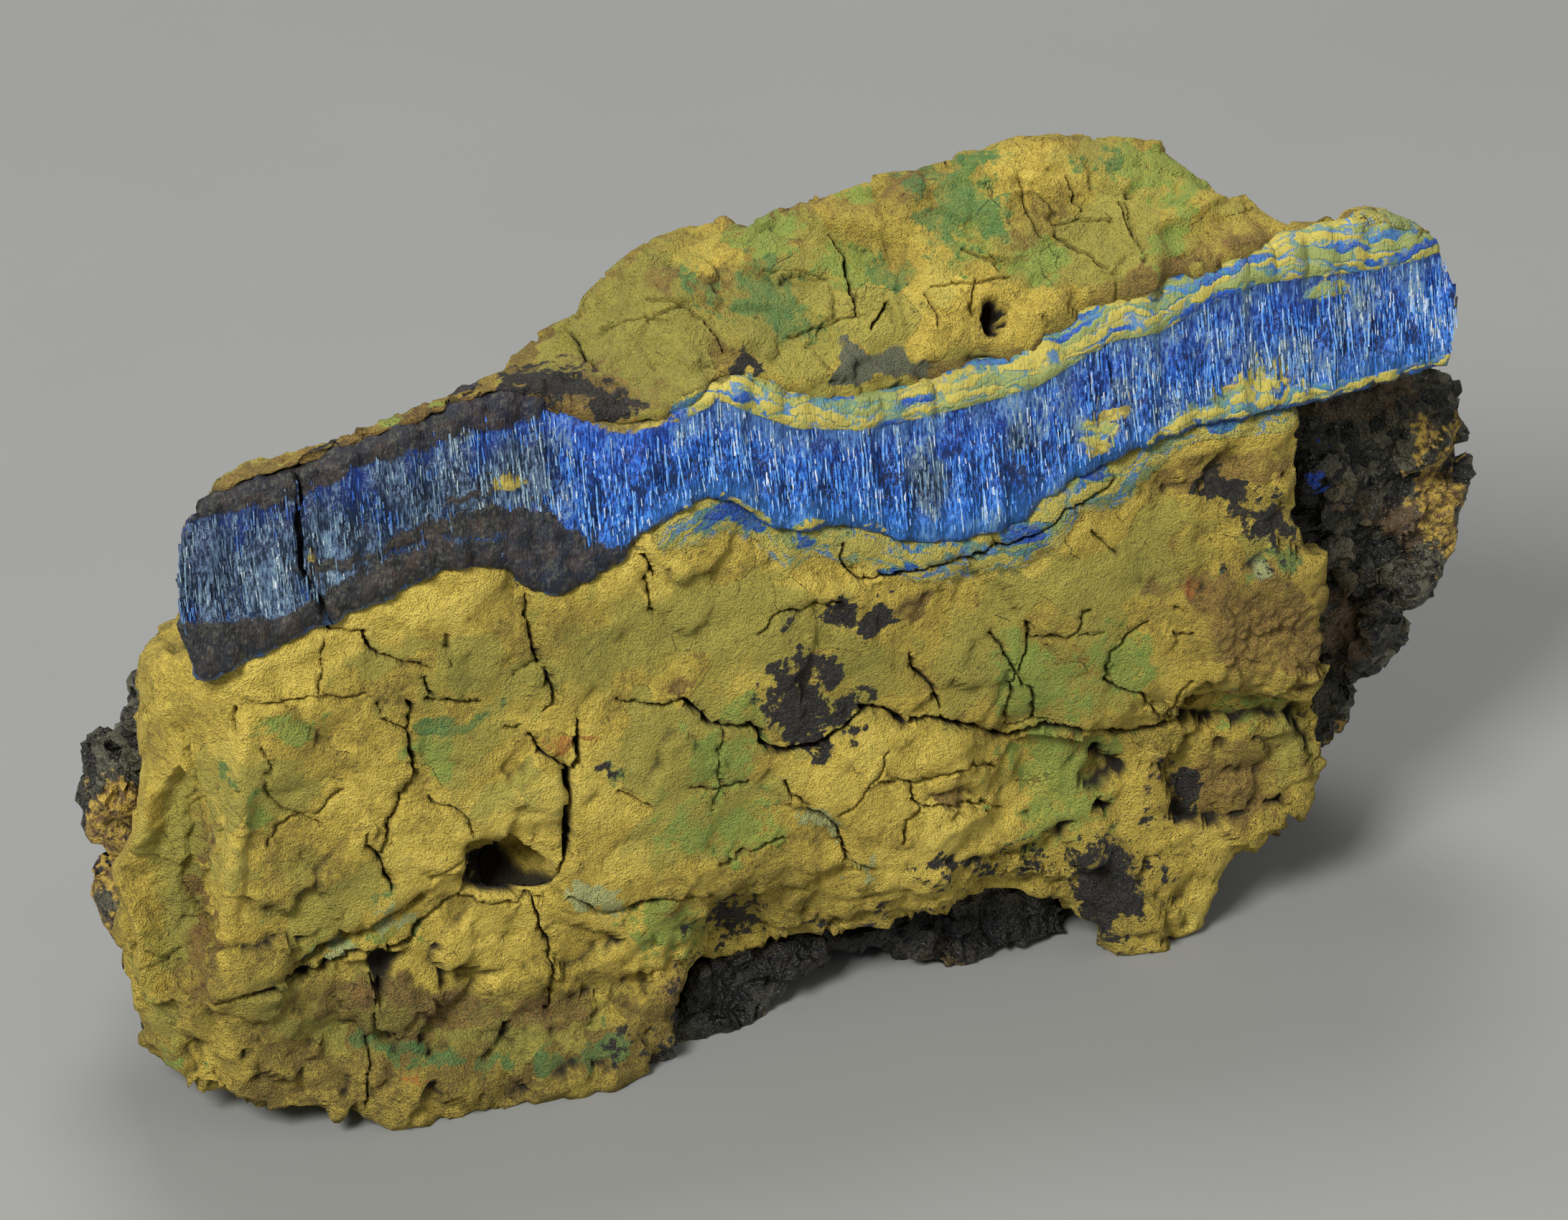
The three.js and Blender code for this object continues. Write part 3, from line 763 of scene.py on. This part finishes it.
# upper wall rock
cap = {
    # starts and ends: pixels across the picture; drawnIn: mm
    "voxel": 0.2, "grow": 0.2, "rounds": 3, "near": 11, "thinEnd": (240, 330),
    "drawnIn": (1.6, 0.7, 0.25), "stripStart": (290, 400), "stripEnd": (600, 720),
    "filmStart": (880, 980), "dimEnd": (820, 1150),
    "cracks": {   # (about the width, depth) in mm, paths in pixels
        (0.06, 0.3): [
            [(1285, 412), (1302, 434), (1307, 456)], [(1340, 346), (1373, 362), (1390, 379)],
            [(1357, 390), (1351, 434)], [(1567, 285), (1580, 330), (1589, 362)],
            [(1473, 312), (1506, 301), (1550, 307)], [(1296, 401), (1362, 395), (1406, 384)],
            [(899, 417), (948, 428), (976, 439)], [(1064, 379), (1119, 379), (1152, 390)],
            [(1420, 250), (1432, 300), (1450, 330)], [(1100, 470), (1150, 455), (1190, 440)],
        ],
        (0.08, 0.4): [[(835, 458), (960, 430)]],
        (0.09, 0.5): [
            [(1484, 247), (1505, 290)], [(1560, 285), (1578, 330)], [(1212, 460), (1235, 422)],
            [(1470, 330), (1540, 378)],
        ],
        (0.11, 0.6): [[(983, 441), (1006, 491)]],
        (0.12, 0.7): [[(794, 466), (833, 516)]],
        (0.14, 0.7): [[(1156, 324), (1178, 358), (1183, 402), (1194, 441)]],
    },
    "fresh": [
        (990, 350, 34, 28), (1330, 400, 80, 50), (1180, 450, 60, 50), (1420, 230, 50, 40),
        (1590, 260, 60, 40), (1440, 430, 60, 40), (1090, 520, 60, 14), (500, 560, 60, 16, -25),
        (400, 630, 70, 14, -28), (690, 540, 26, 14),
    ],
    "olive": [
        (900, 440, 60, 50), (880, 500, 90, 40), (1450, 365, 70, 40), (1560, 340, 60, 40),
        (1100, 440, 80, 60),
    ],
    "green": [
        (1060, 325, 44, 26, -25), (1190, 372, 44, 30), (1350, 290, 40, 60), (1600, 232, 70, 26),
        (1192, 276, 14, 14), (1640, 300, 20, 60, 20), (1450, 360, 36, 22),
    ],
    "teal": [
        (1332, 278, 54, 62), (980, 396, 42, 22, 20), (1080, 425, 50, 38, 25), (1242, 382, 25, 25),
        (1382, 320, 14, 30), (1535, 218, 30, 18),
    ],
    "black": [
        (1028, 511, 14, 12), (1058, 505, 13, 9), (962, 535, 20, 11), (979, 548, 13, 9),
        (760, 535, 60, 26), (720, 560, 36, 26), (850, 560, 40, 22), (1490, 505, 10, 8),
    ],
    "brown": [
        (1086, 294, 60, 20, -20), (1264, 258, 36, 18, -15), (800, 550, 110, 40), (917, 390, 18, 20),
        (1330, 515, 90, 14, -6), (1490, 470, 80, 18, -28), (1600, 395, 60, 20, -20), (1870, 300, 70, 18),
        (330, 690, 80, 18, -25), (560, 590, 90, 16, -22), (1720, 350, 60, 22, -20), (620, 545, 50, 16),
    ],
    "rust": [(830, 545, 40, 8, 25), (860, 580, 30, 6, 30)],
    "stone": [(1195, 505, 26, 30), (1250, 508, 44, 22)],
    "pit": [(1383, 449, 17, 25)],
}


def capStone():
    mesh = fineCopy("ochre_cap", cap["voxel"])
    points, links = pointsOf(mesh), linksOf(mesh)
    thinEnd = 1 - fade(pixelsOf(points), cap["thinEnd"])
    putPoints(mesh, soften(points, links, cap["rounds"]) + thinEnd[:, None] * cap["drawnIn"])
    splitAtCracks(mesh, cap["cracks"], cap["near"])
    points, normals, pixels, seen = surfaceOf(mesh)
    links = linksOf(mesh)
    relief = 0.3 * soften(facets(points, 4.2, 7, 0.3, 1.5, 81)[:, None], links, 6)[:, 0]
    relief += 0.36 * facets(points, 1.7, 8, 0.15, 0.8, 84)
    relief += 0.12 * wander(points, 2.6, 8) + 0.07 * wander(points, 0.8, 9)
    strip = (1 - fade(pixels, cap["stripEnd"])) * fade(pixels, cap["stripStart"])
    relief += strip * (0.6 * facets(points, 0.9, 17, 0.1, 0.6, 86) - 0.28)
    groove = grooves(points, cap["cracks"]) * seen
    pit = seen * ramp(spots(ragged(points, 95, 0.8, 0.4), cap["pit"]), 0.45, 0.65)
    points = points + normals * (relief + cap["grow"] - groove - 1.6 * pit)[:, None]
    putPoints(mesh, points)

    torn, hidden = ragged(points, 92), 1 - seen
    stains = {
        "fresh": 0.3 * hidden, "olive": 0.3, "green": hidden * blotches(points, 4.0, 31, 0.1, 0.9),
        "black": hidden * blotches(points, 5.0, 32, 0.1, 0.9), "teal": 0, "rust": 0, "stone": 0,
        "brown": hidden * blotches(points, 4.0, 33, -0.1, 0.8) + 0.4 * strip,
    }
    for name, values in stains.items():
        keepMasks(mesh, **{name: values + seen * spots(torn, cap[name])})
    roof = above(pixels, veinRoofLine)
    flaky = 1 - ramp(above(pixels, flakeTopLine), -14, 12)
    keepMasks(
        mesh, films=fade(pixels, cap["filmStart"]) * flaky * (0.4 + 0.6 * seen),
        filmShift=-0.12 + 0.2 * (1 - ramp(roof, 5, 50)), across=roof / picture["perMm"],
        rugged=np.full(len(points), 0.8), dim=0.24 + 0.44 * (1 - fade(pixels, cap["dimEnd"])),
        # painted shade: the finish darkens hollows, crack grooves and the pit
        hollow=np.maximum(hollowsOf(points, normals, links), 0.5 * groove + 0.4 * pit))
    setPiece("cap_stone", mesh, ochreFinish("cap stone", ochreLook), "ochre_cap")


# fibre vein
vein = {
    # starts, ends and rises: pixels across the picture
    "voxel": 0.24, "columns": 760, "glints": 0.7, "rounds": 1, "near": 11, "sides": 5,
    "toneStart": (480, 720), "bandEnd": (740, 790), "lensEnd": (880, 905), "skinStart": (780, 860),
    "filmStart": (880, 960), "mixStart": (1250, 1500), "mixEnd": (1900, 2000), "footRise": (1540, 1640),
    "night": colour(16, 38, 78), "deep": colour(38, 94, 190), "cobalt": colour(74, 146, 230),
    # glintWhite: painted glints on the fibres
    "sky": colour(140, 192, 242), "pale": colour(192, 214, 242), "glintWhite": colour(242, 246, 250),
    "violet": colour(44, 80, 206), "azure": colour(60, 150, 236), "sooty": colour(26, 25, 21),
    "umber": colour(86, 83, 66), "veil": colour(128, 156, 150), "gap": colour(6, 6, 6),
    "bark": colour(62, 48, 36), "ochre": colour(196, 176, 78), "clay": colour(140, 126, 66),
    "ink": colour(22, 34, 36), "ash": colour(158, 180, 178), "haze": colour(70, 108, 140),
    "bandFoot": [
        (225, 748), (279, 722), (350, 712), (421, 692), (516, 650), (595, 622), (674, 604), (737, 592),
        (790, 560),
    ],
    "lensTop": [
        (222, 868), (318, 862), (398, 858), (455, 822), (505, 780), (556, 742), (643, 712), (714, 706),
        (769, 718), (824, 757), (896, 765),
    ],
    "lensBlue": [(7, [(420, 822), (500, 792), (600, 752), (700, 748)])],
    "flakyFoot": [(1730, 560, 90, 60, -14)],
    "flaky": [
        (1745, 538, 62, 20, -24), (1690, 572, 40, 12, -14), (1530, 602, 26, 20, -30),
        (1850, 404, 34, 12, -10),
    ],
    "soot": [
        (470, 785, 60, 9, -8), (600, 735, 70, 7, -28), (660, 690, 40, 6, -10), (1900, 545, 90, 14, -14),
    ],
    "greyed": [
        (420, 780, 300, 130, -20), (300, 800, 160, 130), (600, 690, 150, 90, -14), (730, 650, 60, 60),
        (1290, 670, 30, 40), (1420, 620, 26, 30),
    ],
    "yellow": [
        (708, 672, 24, 11), (435, 777, 7, 6), (1547, 578, 30, 9, -14), (1530, 626, 20, 8, -22),
        (1780, 530, 14, 8), (1762, 567, 14, 7), (1707, 545, 22, 7, -25), (1862, 404, 18, 8, -10),
    ],
    "cracks": {   # (about the width, depth) in mm, paths in pixels
        (0.07, 0.3): [[(1540, 480), (1548, 520), (1555, 560)]],
        (0.3, 0.8): [[(418, 664), (415, 724), (421, 790), (445, 836), (458, 870), (470, 900)]],
    },
    "sideFibres": [((0, -1, 0), 2600), ((1, 0, 0), 700), ((-1, 0, 0), 700)],   # back, left and right
}


def veinFinish(name, look):
    s = Finish(name)
    tone, high, skin, fine = s.mask("tone"), s.mask("high"), s.mask("skin"), s.noise(0.3, 3.0)
    bundle = s.noise(1.6, 3.0, 0.6, s.stretched(1.2, 1.2, 0.5))
    streak = s.noise(0.3, 3.0, 0.6, s.stretched(3.0, 3.0, 0.4))
    glint = s.noise(0.22, 2.0, 0.5, s.stretched(2.8, 2.8, 1.1))
    torn, grit = s.noise(0.9, 5.0, 0.7), s.noise(0.22, 3.0, 0.65)
    level = tone + (streak - 0.5) * 1.9 + (bundle - 0.5) * 1.3
    shade = s.shades(level, (0.0, look["night"]), (0.22, look["deep"]), (0.48, look["cobalt"]),
                     (0.76, look["sky"]), (0.95, look["pale"]), (1.0, look["glintWhite"]))
    shade = s.mix(s.step(high, 0.5, 0.95) * 0.2, shade, look["violet"])
    shade = s.mix((1 - s.step(high, 0.02, 0.4)) * 0.25, shade, look["azure"])
    greyed = s.step(s.mask("grey") + (streak - 0.5) * 1.2 + (bundle - 0.5) * 1.6, 0.35, 0.75)
    shade = s.mix(greyed * 0.8, shade, s.mix(level * 0.9, look["ink"], look["ash"]))
    veil = s.step(s.mask("veil") + (streak - 0.5) * 1.6 + (bundle - 0.5) * 1.8, 0.35, 0.8)
    shade = s.mix(veil * 0.5, shade, s.mix(level * 1.2, look["haze"], look["veil"]))
    soot = s.mask("soot") + (streak - 0.5) * 0.8 + (fine - 0.5) * 0.7 + (torn - 0.5) * skin * 2.4
    soot = s.step(soot, 0.4, 0.6)
    # painted glints: short white streaks on the fibres
    spark = s.step(glint + (bundle - 0.5) * 0.5, 0.62, 0.74) * (1 - soot * 0.85) * s.step(tone, 0.15, 0.4)
    shade = s.mix(spark * 0.85, shade, look["glintWhite"])
    dark = s.mix(s.step(torn, 0.45, 0.65), look["sooty"], look["bark"])
    shade = s.mix(soot * 0.95, shade, s.mix(s.step(fine * 0.4 + grit * 0.6, 0.48, 0.68), dark, look["umber"]))
    yellow = s.step(s.mask("yellow") + (fine - 0.5) * 0.6 + (torn - 0.5) * skin * 3.0, 0.42, 0.56)
    earth = s.mix(s.step(fine, 0.35, 0.65), look["ochre"], look["clay"])
    shade = s.mix(yellow, shade, s.mix(s.step(bundle, 0.42, 0.62) * skin * 0.7, earth, look["bark"]))
    zone = s.step(s.mask("films") + (fine - 0.5) * 0.4, 0.4, 0.56)
    layers, scale = films(s, filmLook)
    shade = s.mix(zone, shade, layers)
    # painted shade: black in the vein's cracks
    shade = s.mix(s.mask("gap"), shade, look["gap"])
    normal = s.bump(streak * 0.14 + fine * 0.06 + scale * zone * 0.04)
    return s.finish(Base_Color=shade, Roughness=0.26 + soot * 0.3 + (zone | yellow) * 0.5, Normal=normal)


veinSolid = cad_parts["azurite_vein"].data
veinTree = BVHTree.FromPolygons(pointsOf(veinSolid).tolist(), [tuple(p.vertices) for p in veinSolid.polygons])


def cast(start, way):
    hit = veinTree.ray_cast(Vector(start), Vector(way))
    return np.array(hit[0]) if hit[0] else None


def sootOf(points):   # the dark band under the roof, the dark lens on the floor, and streaks
    pixels = pixelsOf(points + 0.25 * shaken(points * (1, 1, 0.4), 0.7, 67))
    band = ramp(above(pixels, vein["bandFoot"]), -12, 14) * (1 - fade(pixels, vein["bandEnd"]))
    lens = ramp(-above(pixels, vein["lensTop"]), -10, 10) * (1 - fade(pixels, vein["lensEnd"]))
    lens = lens - 0.6 * lines(pixels, vein["lensBlue"])
    return np.max([band * 0.85, lens, spots(pixels, vein["soot"])], axis=0)


def veinMasks(mesh, tone, seen, centres, skin):
    pixels = pixelsOf(centres)
    roof, floor = above(pixels, veinRoofLine), above(pixels, veinFloorLine)
    nearRoof = np.abs(roof) < np.abs(floor)
    torn, hidden = fade(pixels, vein["filmStart"]), 1 - seen
    mixed = 0.42 * fade(pixels, vein["mixStart"]) * (1 - 0.5 * fade(pixels, vein["mixEnd"]))
    foot = floor - 14 * fade(pixels, vein["footRise"]) - 20 * spots(pixels, vein["flakyFoot"])
    inside = 0.9 * spots(ragged(centres, 94, 0.8, 0.4), vein["flaky"])
    dust = 0.12 + 0.5 * blotches(centres, 5.0, 61, -0.4, 0.6)
    rock = 0.7 * skin + 0.3 * blotches(centres, 4.0, 66, -0.3, 0.7)
    keepMasks(
        mesh, tone=tone * (0.75 + 0.25 * fade(pixels, vein["toneStart"])), skin=hidden,
        high=np.clip(floor / np.maximum(floor - roof, 40), 0, 1),
        grey=seen * np.maximum(spots(pixels, vein["greyed"]), mixed) + hidden * 0.6,
        # painted shade in the vein's cracks
        gap=seen * ramp(grooves(centres, vein["cracks"]), 0.08, 0.3),
        veil=seen * torn * np.maximum(0.75 * ramp(roof, -75, 0), 0.5 - 0.5 * ramp(floor, 10, 60)),
        soot=seen * sootOf(centres) + hidden * dust,
        films=seen * torn * np.max([ramp(roof, -12, 12), 1 - ramp(foot, -10, 14), inside], axis=0),
        across=np.where(nearRoof, roof, floor) / picture["perMm"], filmShift=np.where(nearRoof, 0.1, 0.0),
        yellow=seen * spots(pixels, vein["yellow"]) + hidden * rock)


def veinBody(finish):
    mesh = fineCopy("azurite_vein", vein["voxel"])
    putPoints(mesh, soften(pointsOf(mesh), linksOf(mesh), vein["rounds"]))
    splitAtCracks(mesh, vein["cracks"], vein["near"])
    points, normals, pixels, seen = surfaceOf(mesh)
    thread = wander(points * (1, 1, 0.12), 0.5, 62)
    soot = ramp(sootOf(points), 0.4, 0.6)
    zone = ramp(above(pixels, veinRoofLine), -6, 14) * fade(pixels, vein["filmStart"])
    relief = 0.10 * thread * (1 - soot) + 0.12 * wander(points, 1.6, 63) + 0.04
    relief += soot * (0.1 + 0.16 * wander(points, 0.5, 64))
    flakes = zone * (0.3 + 0.07 * wander(points * (0.3, 0.6, 1.6), 0.7, 65))
    relief += flakes + 0.3 * ramp(np.abs(normals[:, 2]), 0.5, 0.9)
    points = points + normals * (relief - seen * grooves(points, vein["cracks"]))[:, None]
    putPoints(mesh, points)
    shown = seen * ramp(lookBack[2] - normals[:, 2] + 0.45, 0.0, 0.3)   # the roof carries a skin of wall rock
    shown = np.max([shown, seen * zone, seen * (1 - fade(pixels, vein["skinStart"]))], axis=0)
    veinMasks(mesh, 0.12 + 0.15 * thread, shown, points, ramp(normals[:, 2], 0.3, 0.7))
    setPiece("vein_body", mesh, finish, "azurite_vein")


def splinters(base, way, length, radius, turn):   # prisms with slanted ends
    sides, count = vein["sides"], len(base)
    side = np.cross(way, [0.0, 1.0, 0.0])
    side /= np.linalg.norm(side, axis=1)[:, None]
    other = np.cross(way, side)
    angle = turn[:, None] + np.arange(sides) * 2 * math.pi / sides
    ring = np.cos(angle)[..., None] * side[:, None] + np.sin(angle)[..., None] * other[:, None]
    length, radius = length[:, None, None], radius[:, None, None]
    slant = dice.random((2, count, sides, 1)) * np.minimum(0.22, length * 0.3)
    thin = 0.55 + 0.45 * dice.random((2, count, 1, 1))
    foot = base[:, None] + ring * (radius * thin[0]) + way[:, None] * slant[0]
    head = base[:, None] + ring * (radius * thin[1]) + way[:, None] * (length - slant[1])
    points = np.concatenate([foot, head], 1).reshape(-1, 3)
    faces = []
    for i in range(count):
        a, b = i * 2 * sides, i * 2 * sides + sides
        faces += [(a + k, a + (k + 1) % sides, b + (k + 1) % sides, b + k) for k in range(sides)]
        faces += [tuple(range(a + sides - 1, a - 1, -1)), tuple(range(b, b + sides))]
    mesh = bpy.data.meshes.new("splinters")
    mesh.from_pydata(((points + origin) / 1000).tolist(), [], faces)
    return mesh


def frontSpan(x, lo, hi):   # lowest and highest place of the fibres at x on the front of the vein
    hits = [cast((x, -20, z), (0, 1, 0)) for z in np.arange(lo[2] + 0.2, hi[2], 0.35)]
    hits = np.array([h for h in hits if h is not None and h[1] < 6])
    if len(hits) < 3:
        return None
    pixels = pixelsOf(hits)
    foot = 24 * fade(pixels, vein["footRise"]) - 20
    clear = (above(pixels, veinRoofLine) < 4) & (above(pixels, veinFloorLine) > foot)
    return (hits[clear][0][2], hits[clear][-1][2] + 0.1) if clear.sum() > 2 else None


def veinFibres(finish):
    lo, hi = pointsOf(veinSolid).min(0), pointsOf(veinSolid).max(0)
    rows = []   # foot, direction, length, radius, tone, 1 where the picture shows it

    def spread(low, reach):
        return low + reach * dice.random()

    def fibre(start, way, length, deep, radius, tone, shown):   # a splinter along the face met from the start
        start, way = np.array(start, float), np.array(way, float)
        foot, head = cast(start, way), cast(start + length * np.array((0.05 * dice.normal(), 0, 1)), way)
        if foot is None or head is None or abs((head - foot) @ way) > 0.7 * length:
            return
        along = head - foot
        reach = np.linalg.norm(along)
        rows.append((*(foot + deep * way), *(along / reach), reach, radius, tone, shown))

    for column in range(vein["columns"] * 2):
        x = lo[0] + (hi[0] - lo[0]) * (column / 2 + dice.random()) / vein["columns"]
        span = frontSpan(x, lo, hi)
        if not span:
            continue
        z = span[0] + dice.random() * 0.4
        while z < span[1] - 0.2:
            length = min(0.4 + 1.6 * dice.random() ** 1.5, span[1] - z + 0.1)
            deep = spread(0.04, 0.2) if column % 2 else spread(-0.10, 0.22)
            fibre((x, -20, z), (0, 1, 0), length, deep, spread(0.035, 0.035), spread(0.16, 0.62), 1)
            z += length * spread(0.75, 0.35)
        if dice.random() < vein["glints"]:   # a short pale splinter, a painted glint
            z = span[0] + (span[1] - span[0]) * dice.random()
            fibre((x, -20, z), (0, 1, 0), spread(0.25, 0.5), spread(-0.14, 0.1), spread(0.025, 0.02),
                  spread(0.7, 0.35), 1)
    for way, count in vein["sideFibres"]:
        for i in range(count):
            start = lo + (hi - lo) * dice.random(3) - 80 * np.array(way)
            fibre(start, way, spread(0.5, 1.0), spread(-0.1, 0.1), spread(0.06, 0.06), spread(0.1, 0.7),
                  way[0] == 1)
    rows = np.array(rows)
    middle, shown = rows[:, :3] + rows[:, 3:6] * rows[:, 6:7] / 2, rows[:, 9]
    bare = np.maximum(0.7 * sootOf(middle), spots(pixelsOf(middle), vein["yellow"] + vein["flaky"]))
    dark = ramp(bare, 0.4, 0.8) * shown
    cracked = grooves(middle, vein["cracks"]) * shown
    kept = (dark * 0.9 < dice.random(len(rows))) & (cracked < 0.05)
    rows, middle = rows[kept], middle[kept]
    length, radius, tone, shown = rows[:, 6:].T
    turn = dice.random(len(rows)) * 6.28
    mesh = splinters(rows[:, :3], rows[:, 3:6], length, radius, turn)
    corners = 2 * vein["sides"]
    veinMasks(mesh, np.repeat(tone, corners), np.repeat(shown, corners), np.repeat(middle, corners, 0), 0)
    setPiece("vein_fibres", mesh, finish, None, False)


# dark crust
crust = {
    "voxel": 0.27, "grow": 0.1, "rounds": 3,
    "black": colour(24, 23, 20), "grey": colour(92, 90, 70), "brown": colour(104, 80, 48),
    "ochre": colour(186, 156, 66), "blue": colour(30, 80, 200), "glint": colour(150, 142, 124),
    # hollowShade is painted shade in hollows, night is painted shadow under the front
    "hollowShade": colour(10, 9, 8), "night": colour(12, 11, 10),
    "ochreSpots": [
        (1990, 625, 18, 44), (2002, 695, 20, 44), (2022, 760, 18, 34), (2040, 640, 16, 60),
        (1862, 1060, 16, 40), (160, 1145, 40, 50), (175, 1215, 26, 40), (185, 1330, 18, 50),
        (1300, 1352, 120, 6), (1975, 700, 30, 20),
    ],
    "brownSpots": [
        (1960, 722, 50, 34), (1900, 700, 30, 20), (1870, 860, 40, 60), (250, 985, 40, 26),
        (150, 1290, 26, 26), (1990, 590, 30, 20), (1240, 1330, 180, 14), (1890, 560, 80, 18, -10),
    ],
    "blueSpots": [(1838, 612, 12, 16), (1836, 681, 15, 12)],
    "shadowSpots": [(1230, 1320, 320, 50, -8), (1010, 1380, 90, 60, -30)],   # painted shadow of the hollow under the front
}


def crustFinish(name, look):
    s = Finish(name)
    mid, fine, dust = s.noise(1.1, 5.0, 0.65), s.noise(0.35, 4.0, 0.65), s.noise(0.11, 2.0)
    edge = (mid - 0.5) * 0.9 + (fine - 0.5) * 0.7
    rise, chip = s.flats(0.9, 0.5)
    shade = s.mix(s.step(mid * 0.2 + fine * 0.5 + chip * 0.3, 0.42, 0.68), look["black"], look["grey"])
    shade = s.mix(s.step(s.mask("brown") + edge * 1.6, 0.38, 0.75) * 0.7, shade, look["brown"])
    ochre = s.step(s.mask("ochre") + edge * 1.1, 0.36, 0.5)
    shade = s.mix(ochre, shade, s.mix(s.step(fine, 0.4, 0.6), look["brown"], look["ochre"]))
    shade = s.mix(s.step(s.mask("blue") + edge * 0.6, 0.42, 0.6), shade, look["blue"])
    shade = s.mix(s.step(dust, 0.62, 0.70) * (1 - ochre) * 0.6, shade, look["glint"])
    # painted shade: near black in the crust's hollows
    shade = s.mix(s.step(s.mask("hollow"), 0.02, 0.35) * 0.8, shade, look["hollowShade"])
    # painted shadow: near black on the crust under the front
    shade = s.mix(s.step(s.mask("night") + edge * 0.3, 0.4, 0.7) * 0.8, shade, look["night"])
    normal = s.bump(fine * 0.3 + dust * 0.12, Normal=s.bump(rise * 0.9 + mid * 0.1))
    return s.finish(Base_Color=shade, Roughness=0.26 + ochre * 0.55, Normal=normal)


def crustStone():
    mesh = fineCopy("dark_crust", crust["voxel"])
    putPoints(mesh, soften(pointsOf(mesh), linksOf(mesh), crust["rounds"]))
    points, normals, pixels, seen = surfaceOf(mesh)
    lump = crumbs(points + 0.2 * shaken(points, 0.8, 79), 1.3, 9)[0]
    relief = 0.55 * facets(points, 2.6, 78, 0.3, 1.0, 76) + 0.25 * (0.75 - lump)
    relief = relief + 0.35 * wander(points, 4.0, 71) + 0.14 * wander(points, 0.7, 72)
    relief += 0.6 * facets(points, 1.0, 80, 0.1, 0.6, 77)
    points = points + normals * (relief + crust["grow"])[:, None]
    points[:, 2] = np.maximum(points[:, 2], 0.0)
    putPoints(mesh, points)
    torn, hidden = ragged(points, 93), 1 - seen
    keepMasks(
        # night: painted shadow under the front
        mesh, blue=seen * spots(torn, crust["blueSpots"]), night=spots(pixels, crust["shadowSpots"]),
        ochre=seen * spots(torn, crust["ochreSpots"]) + hidden * blotches(points, 5.0, 73, 0.2, 0.9),
        brown=seen * spots(torn, crust["brownSpots"]) + hidden * blotches(points, 6.0, 74, -0.1, 0.9),
        # painted shade: the finish darkens these hollows
        hollow=hollowsOf(points, normals, linksOf(mesh)))
    setPiece("crust_stone", mesh, crustFinish("dark crust", crust), "dark_crust", False)


matrixStone()
capStone()
azure = veinFinish("azurite", vein)
veinBody(azure)
veinFibres(azure)
crustStone()


# floor, light and camera
studio = {
    "floor": colour(141, 142, 139), "shade": colour(134, 135, 132), "sky": 0.24,
    "aim": (0, 0, 0.015), "half": 4,   # metres: where the lights point, and half the floor's side
    "key": ((-0.30, -0.27, 0.38), 0.15, 3.3),   # place, size, power
    "top": ((0.05, 0.22, 0.48), 0.2, 1.3),
    "fill": ((0.30, -0.30, 0.30), 0.40, 0.4),
}


def floorFinish():
    s = Finish("pale floor")
    grey = s.mix(s.noise(30.0, 4.0), studio["shade"], studio["floor"])
    return s.finish(Base_Color=grey, Roughness=0.75)


def areaLight(name, place, size, power):
    lamp = bpy.data.lights.new(name, "AREA")
    lamp.size, lamp.energy = size, power
    light = bpy.data.objects.new(name, lamp)
    light.location = place
    light.rotation_euler = (Vector(studio["aim"]) - Vector(place)).to_track_quat("-Z", "Y").to_euler()
    bpy.context.scene.collection.objects.link(light)


def studioSet():
    mesh, half = bpy.data.meshes.new("floor"), studio["half"]
    corners = [(-half, -half, 0), (half, -half, 0), (half, half, 0), (-half, half, 0)]
    mesh.from_pydata(corners, [], [(0, 1, 2, 3)])
    mesh.materials.append(floorFinish())
    floor = bpy.data.objects.new("floor", mesh)
    bpy.context.scene.collection.objects.link(floor)
    for name in ("key", "top", "fill"):
        areaLight(name, *studio[name])
    world = bpy.data.worlds.new("soft room")
    bpy.context.scene.world = world
    world.use_nodes = True
    world.node_tree.nodes["Background"].inputs[0].default_value = (1.0, 1.0, 1.0, 1.0)
    world.node_tree.nodes["Background"].inputs[1].default_value = studio["sky"]
    bpy.context.scene.view_settings.view_transform = "Standard"


def photoCamera():
    lens = bpy.data.cameras.new("camera")
    lens.sensor_width = 36
    lens.lens = 36 * focal / picture["width"]
    lens.clip_start, lens.clip_end = 0.01, 20
    camera = bpy.data.objects.new("camera", lens)
    bpy.context.scene.collection.objects.link(camera)
    place = (eye + origin) / 1000
    rows = [(*axis, at) for axis, at in zip(zip(lookRight, lookUp, lookBack), place)]
    camera.matrix_world = Matrix(rows + [(0, 0, 0, 1)])
    bpy.context.scene.camera = camera


studioSet()
photoCamera()
print("scene set")
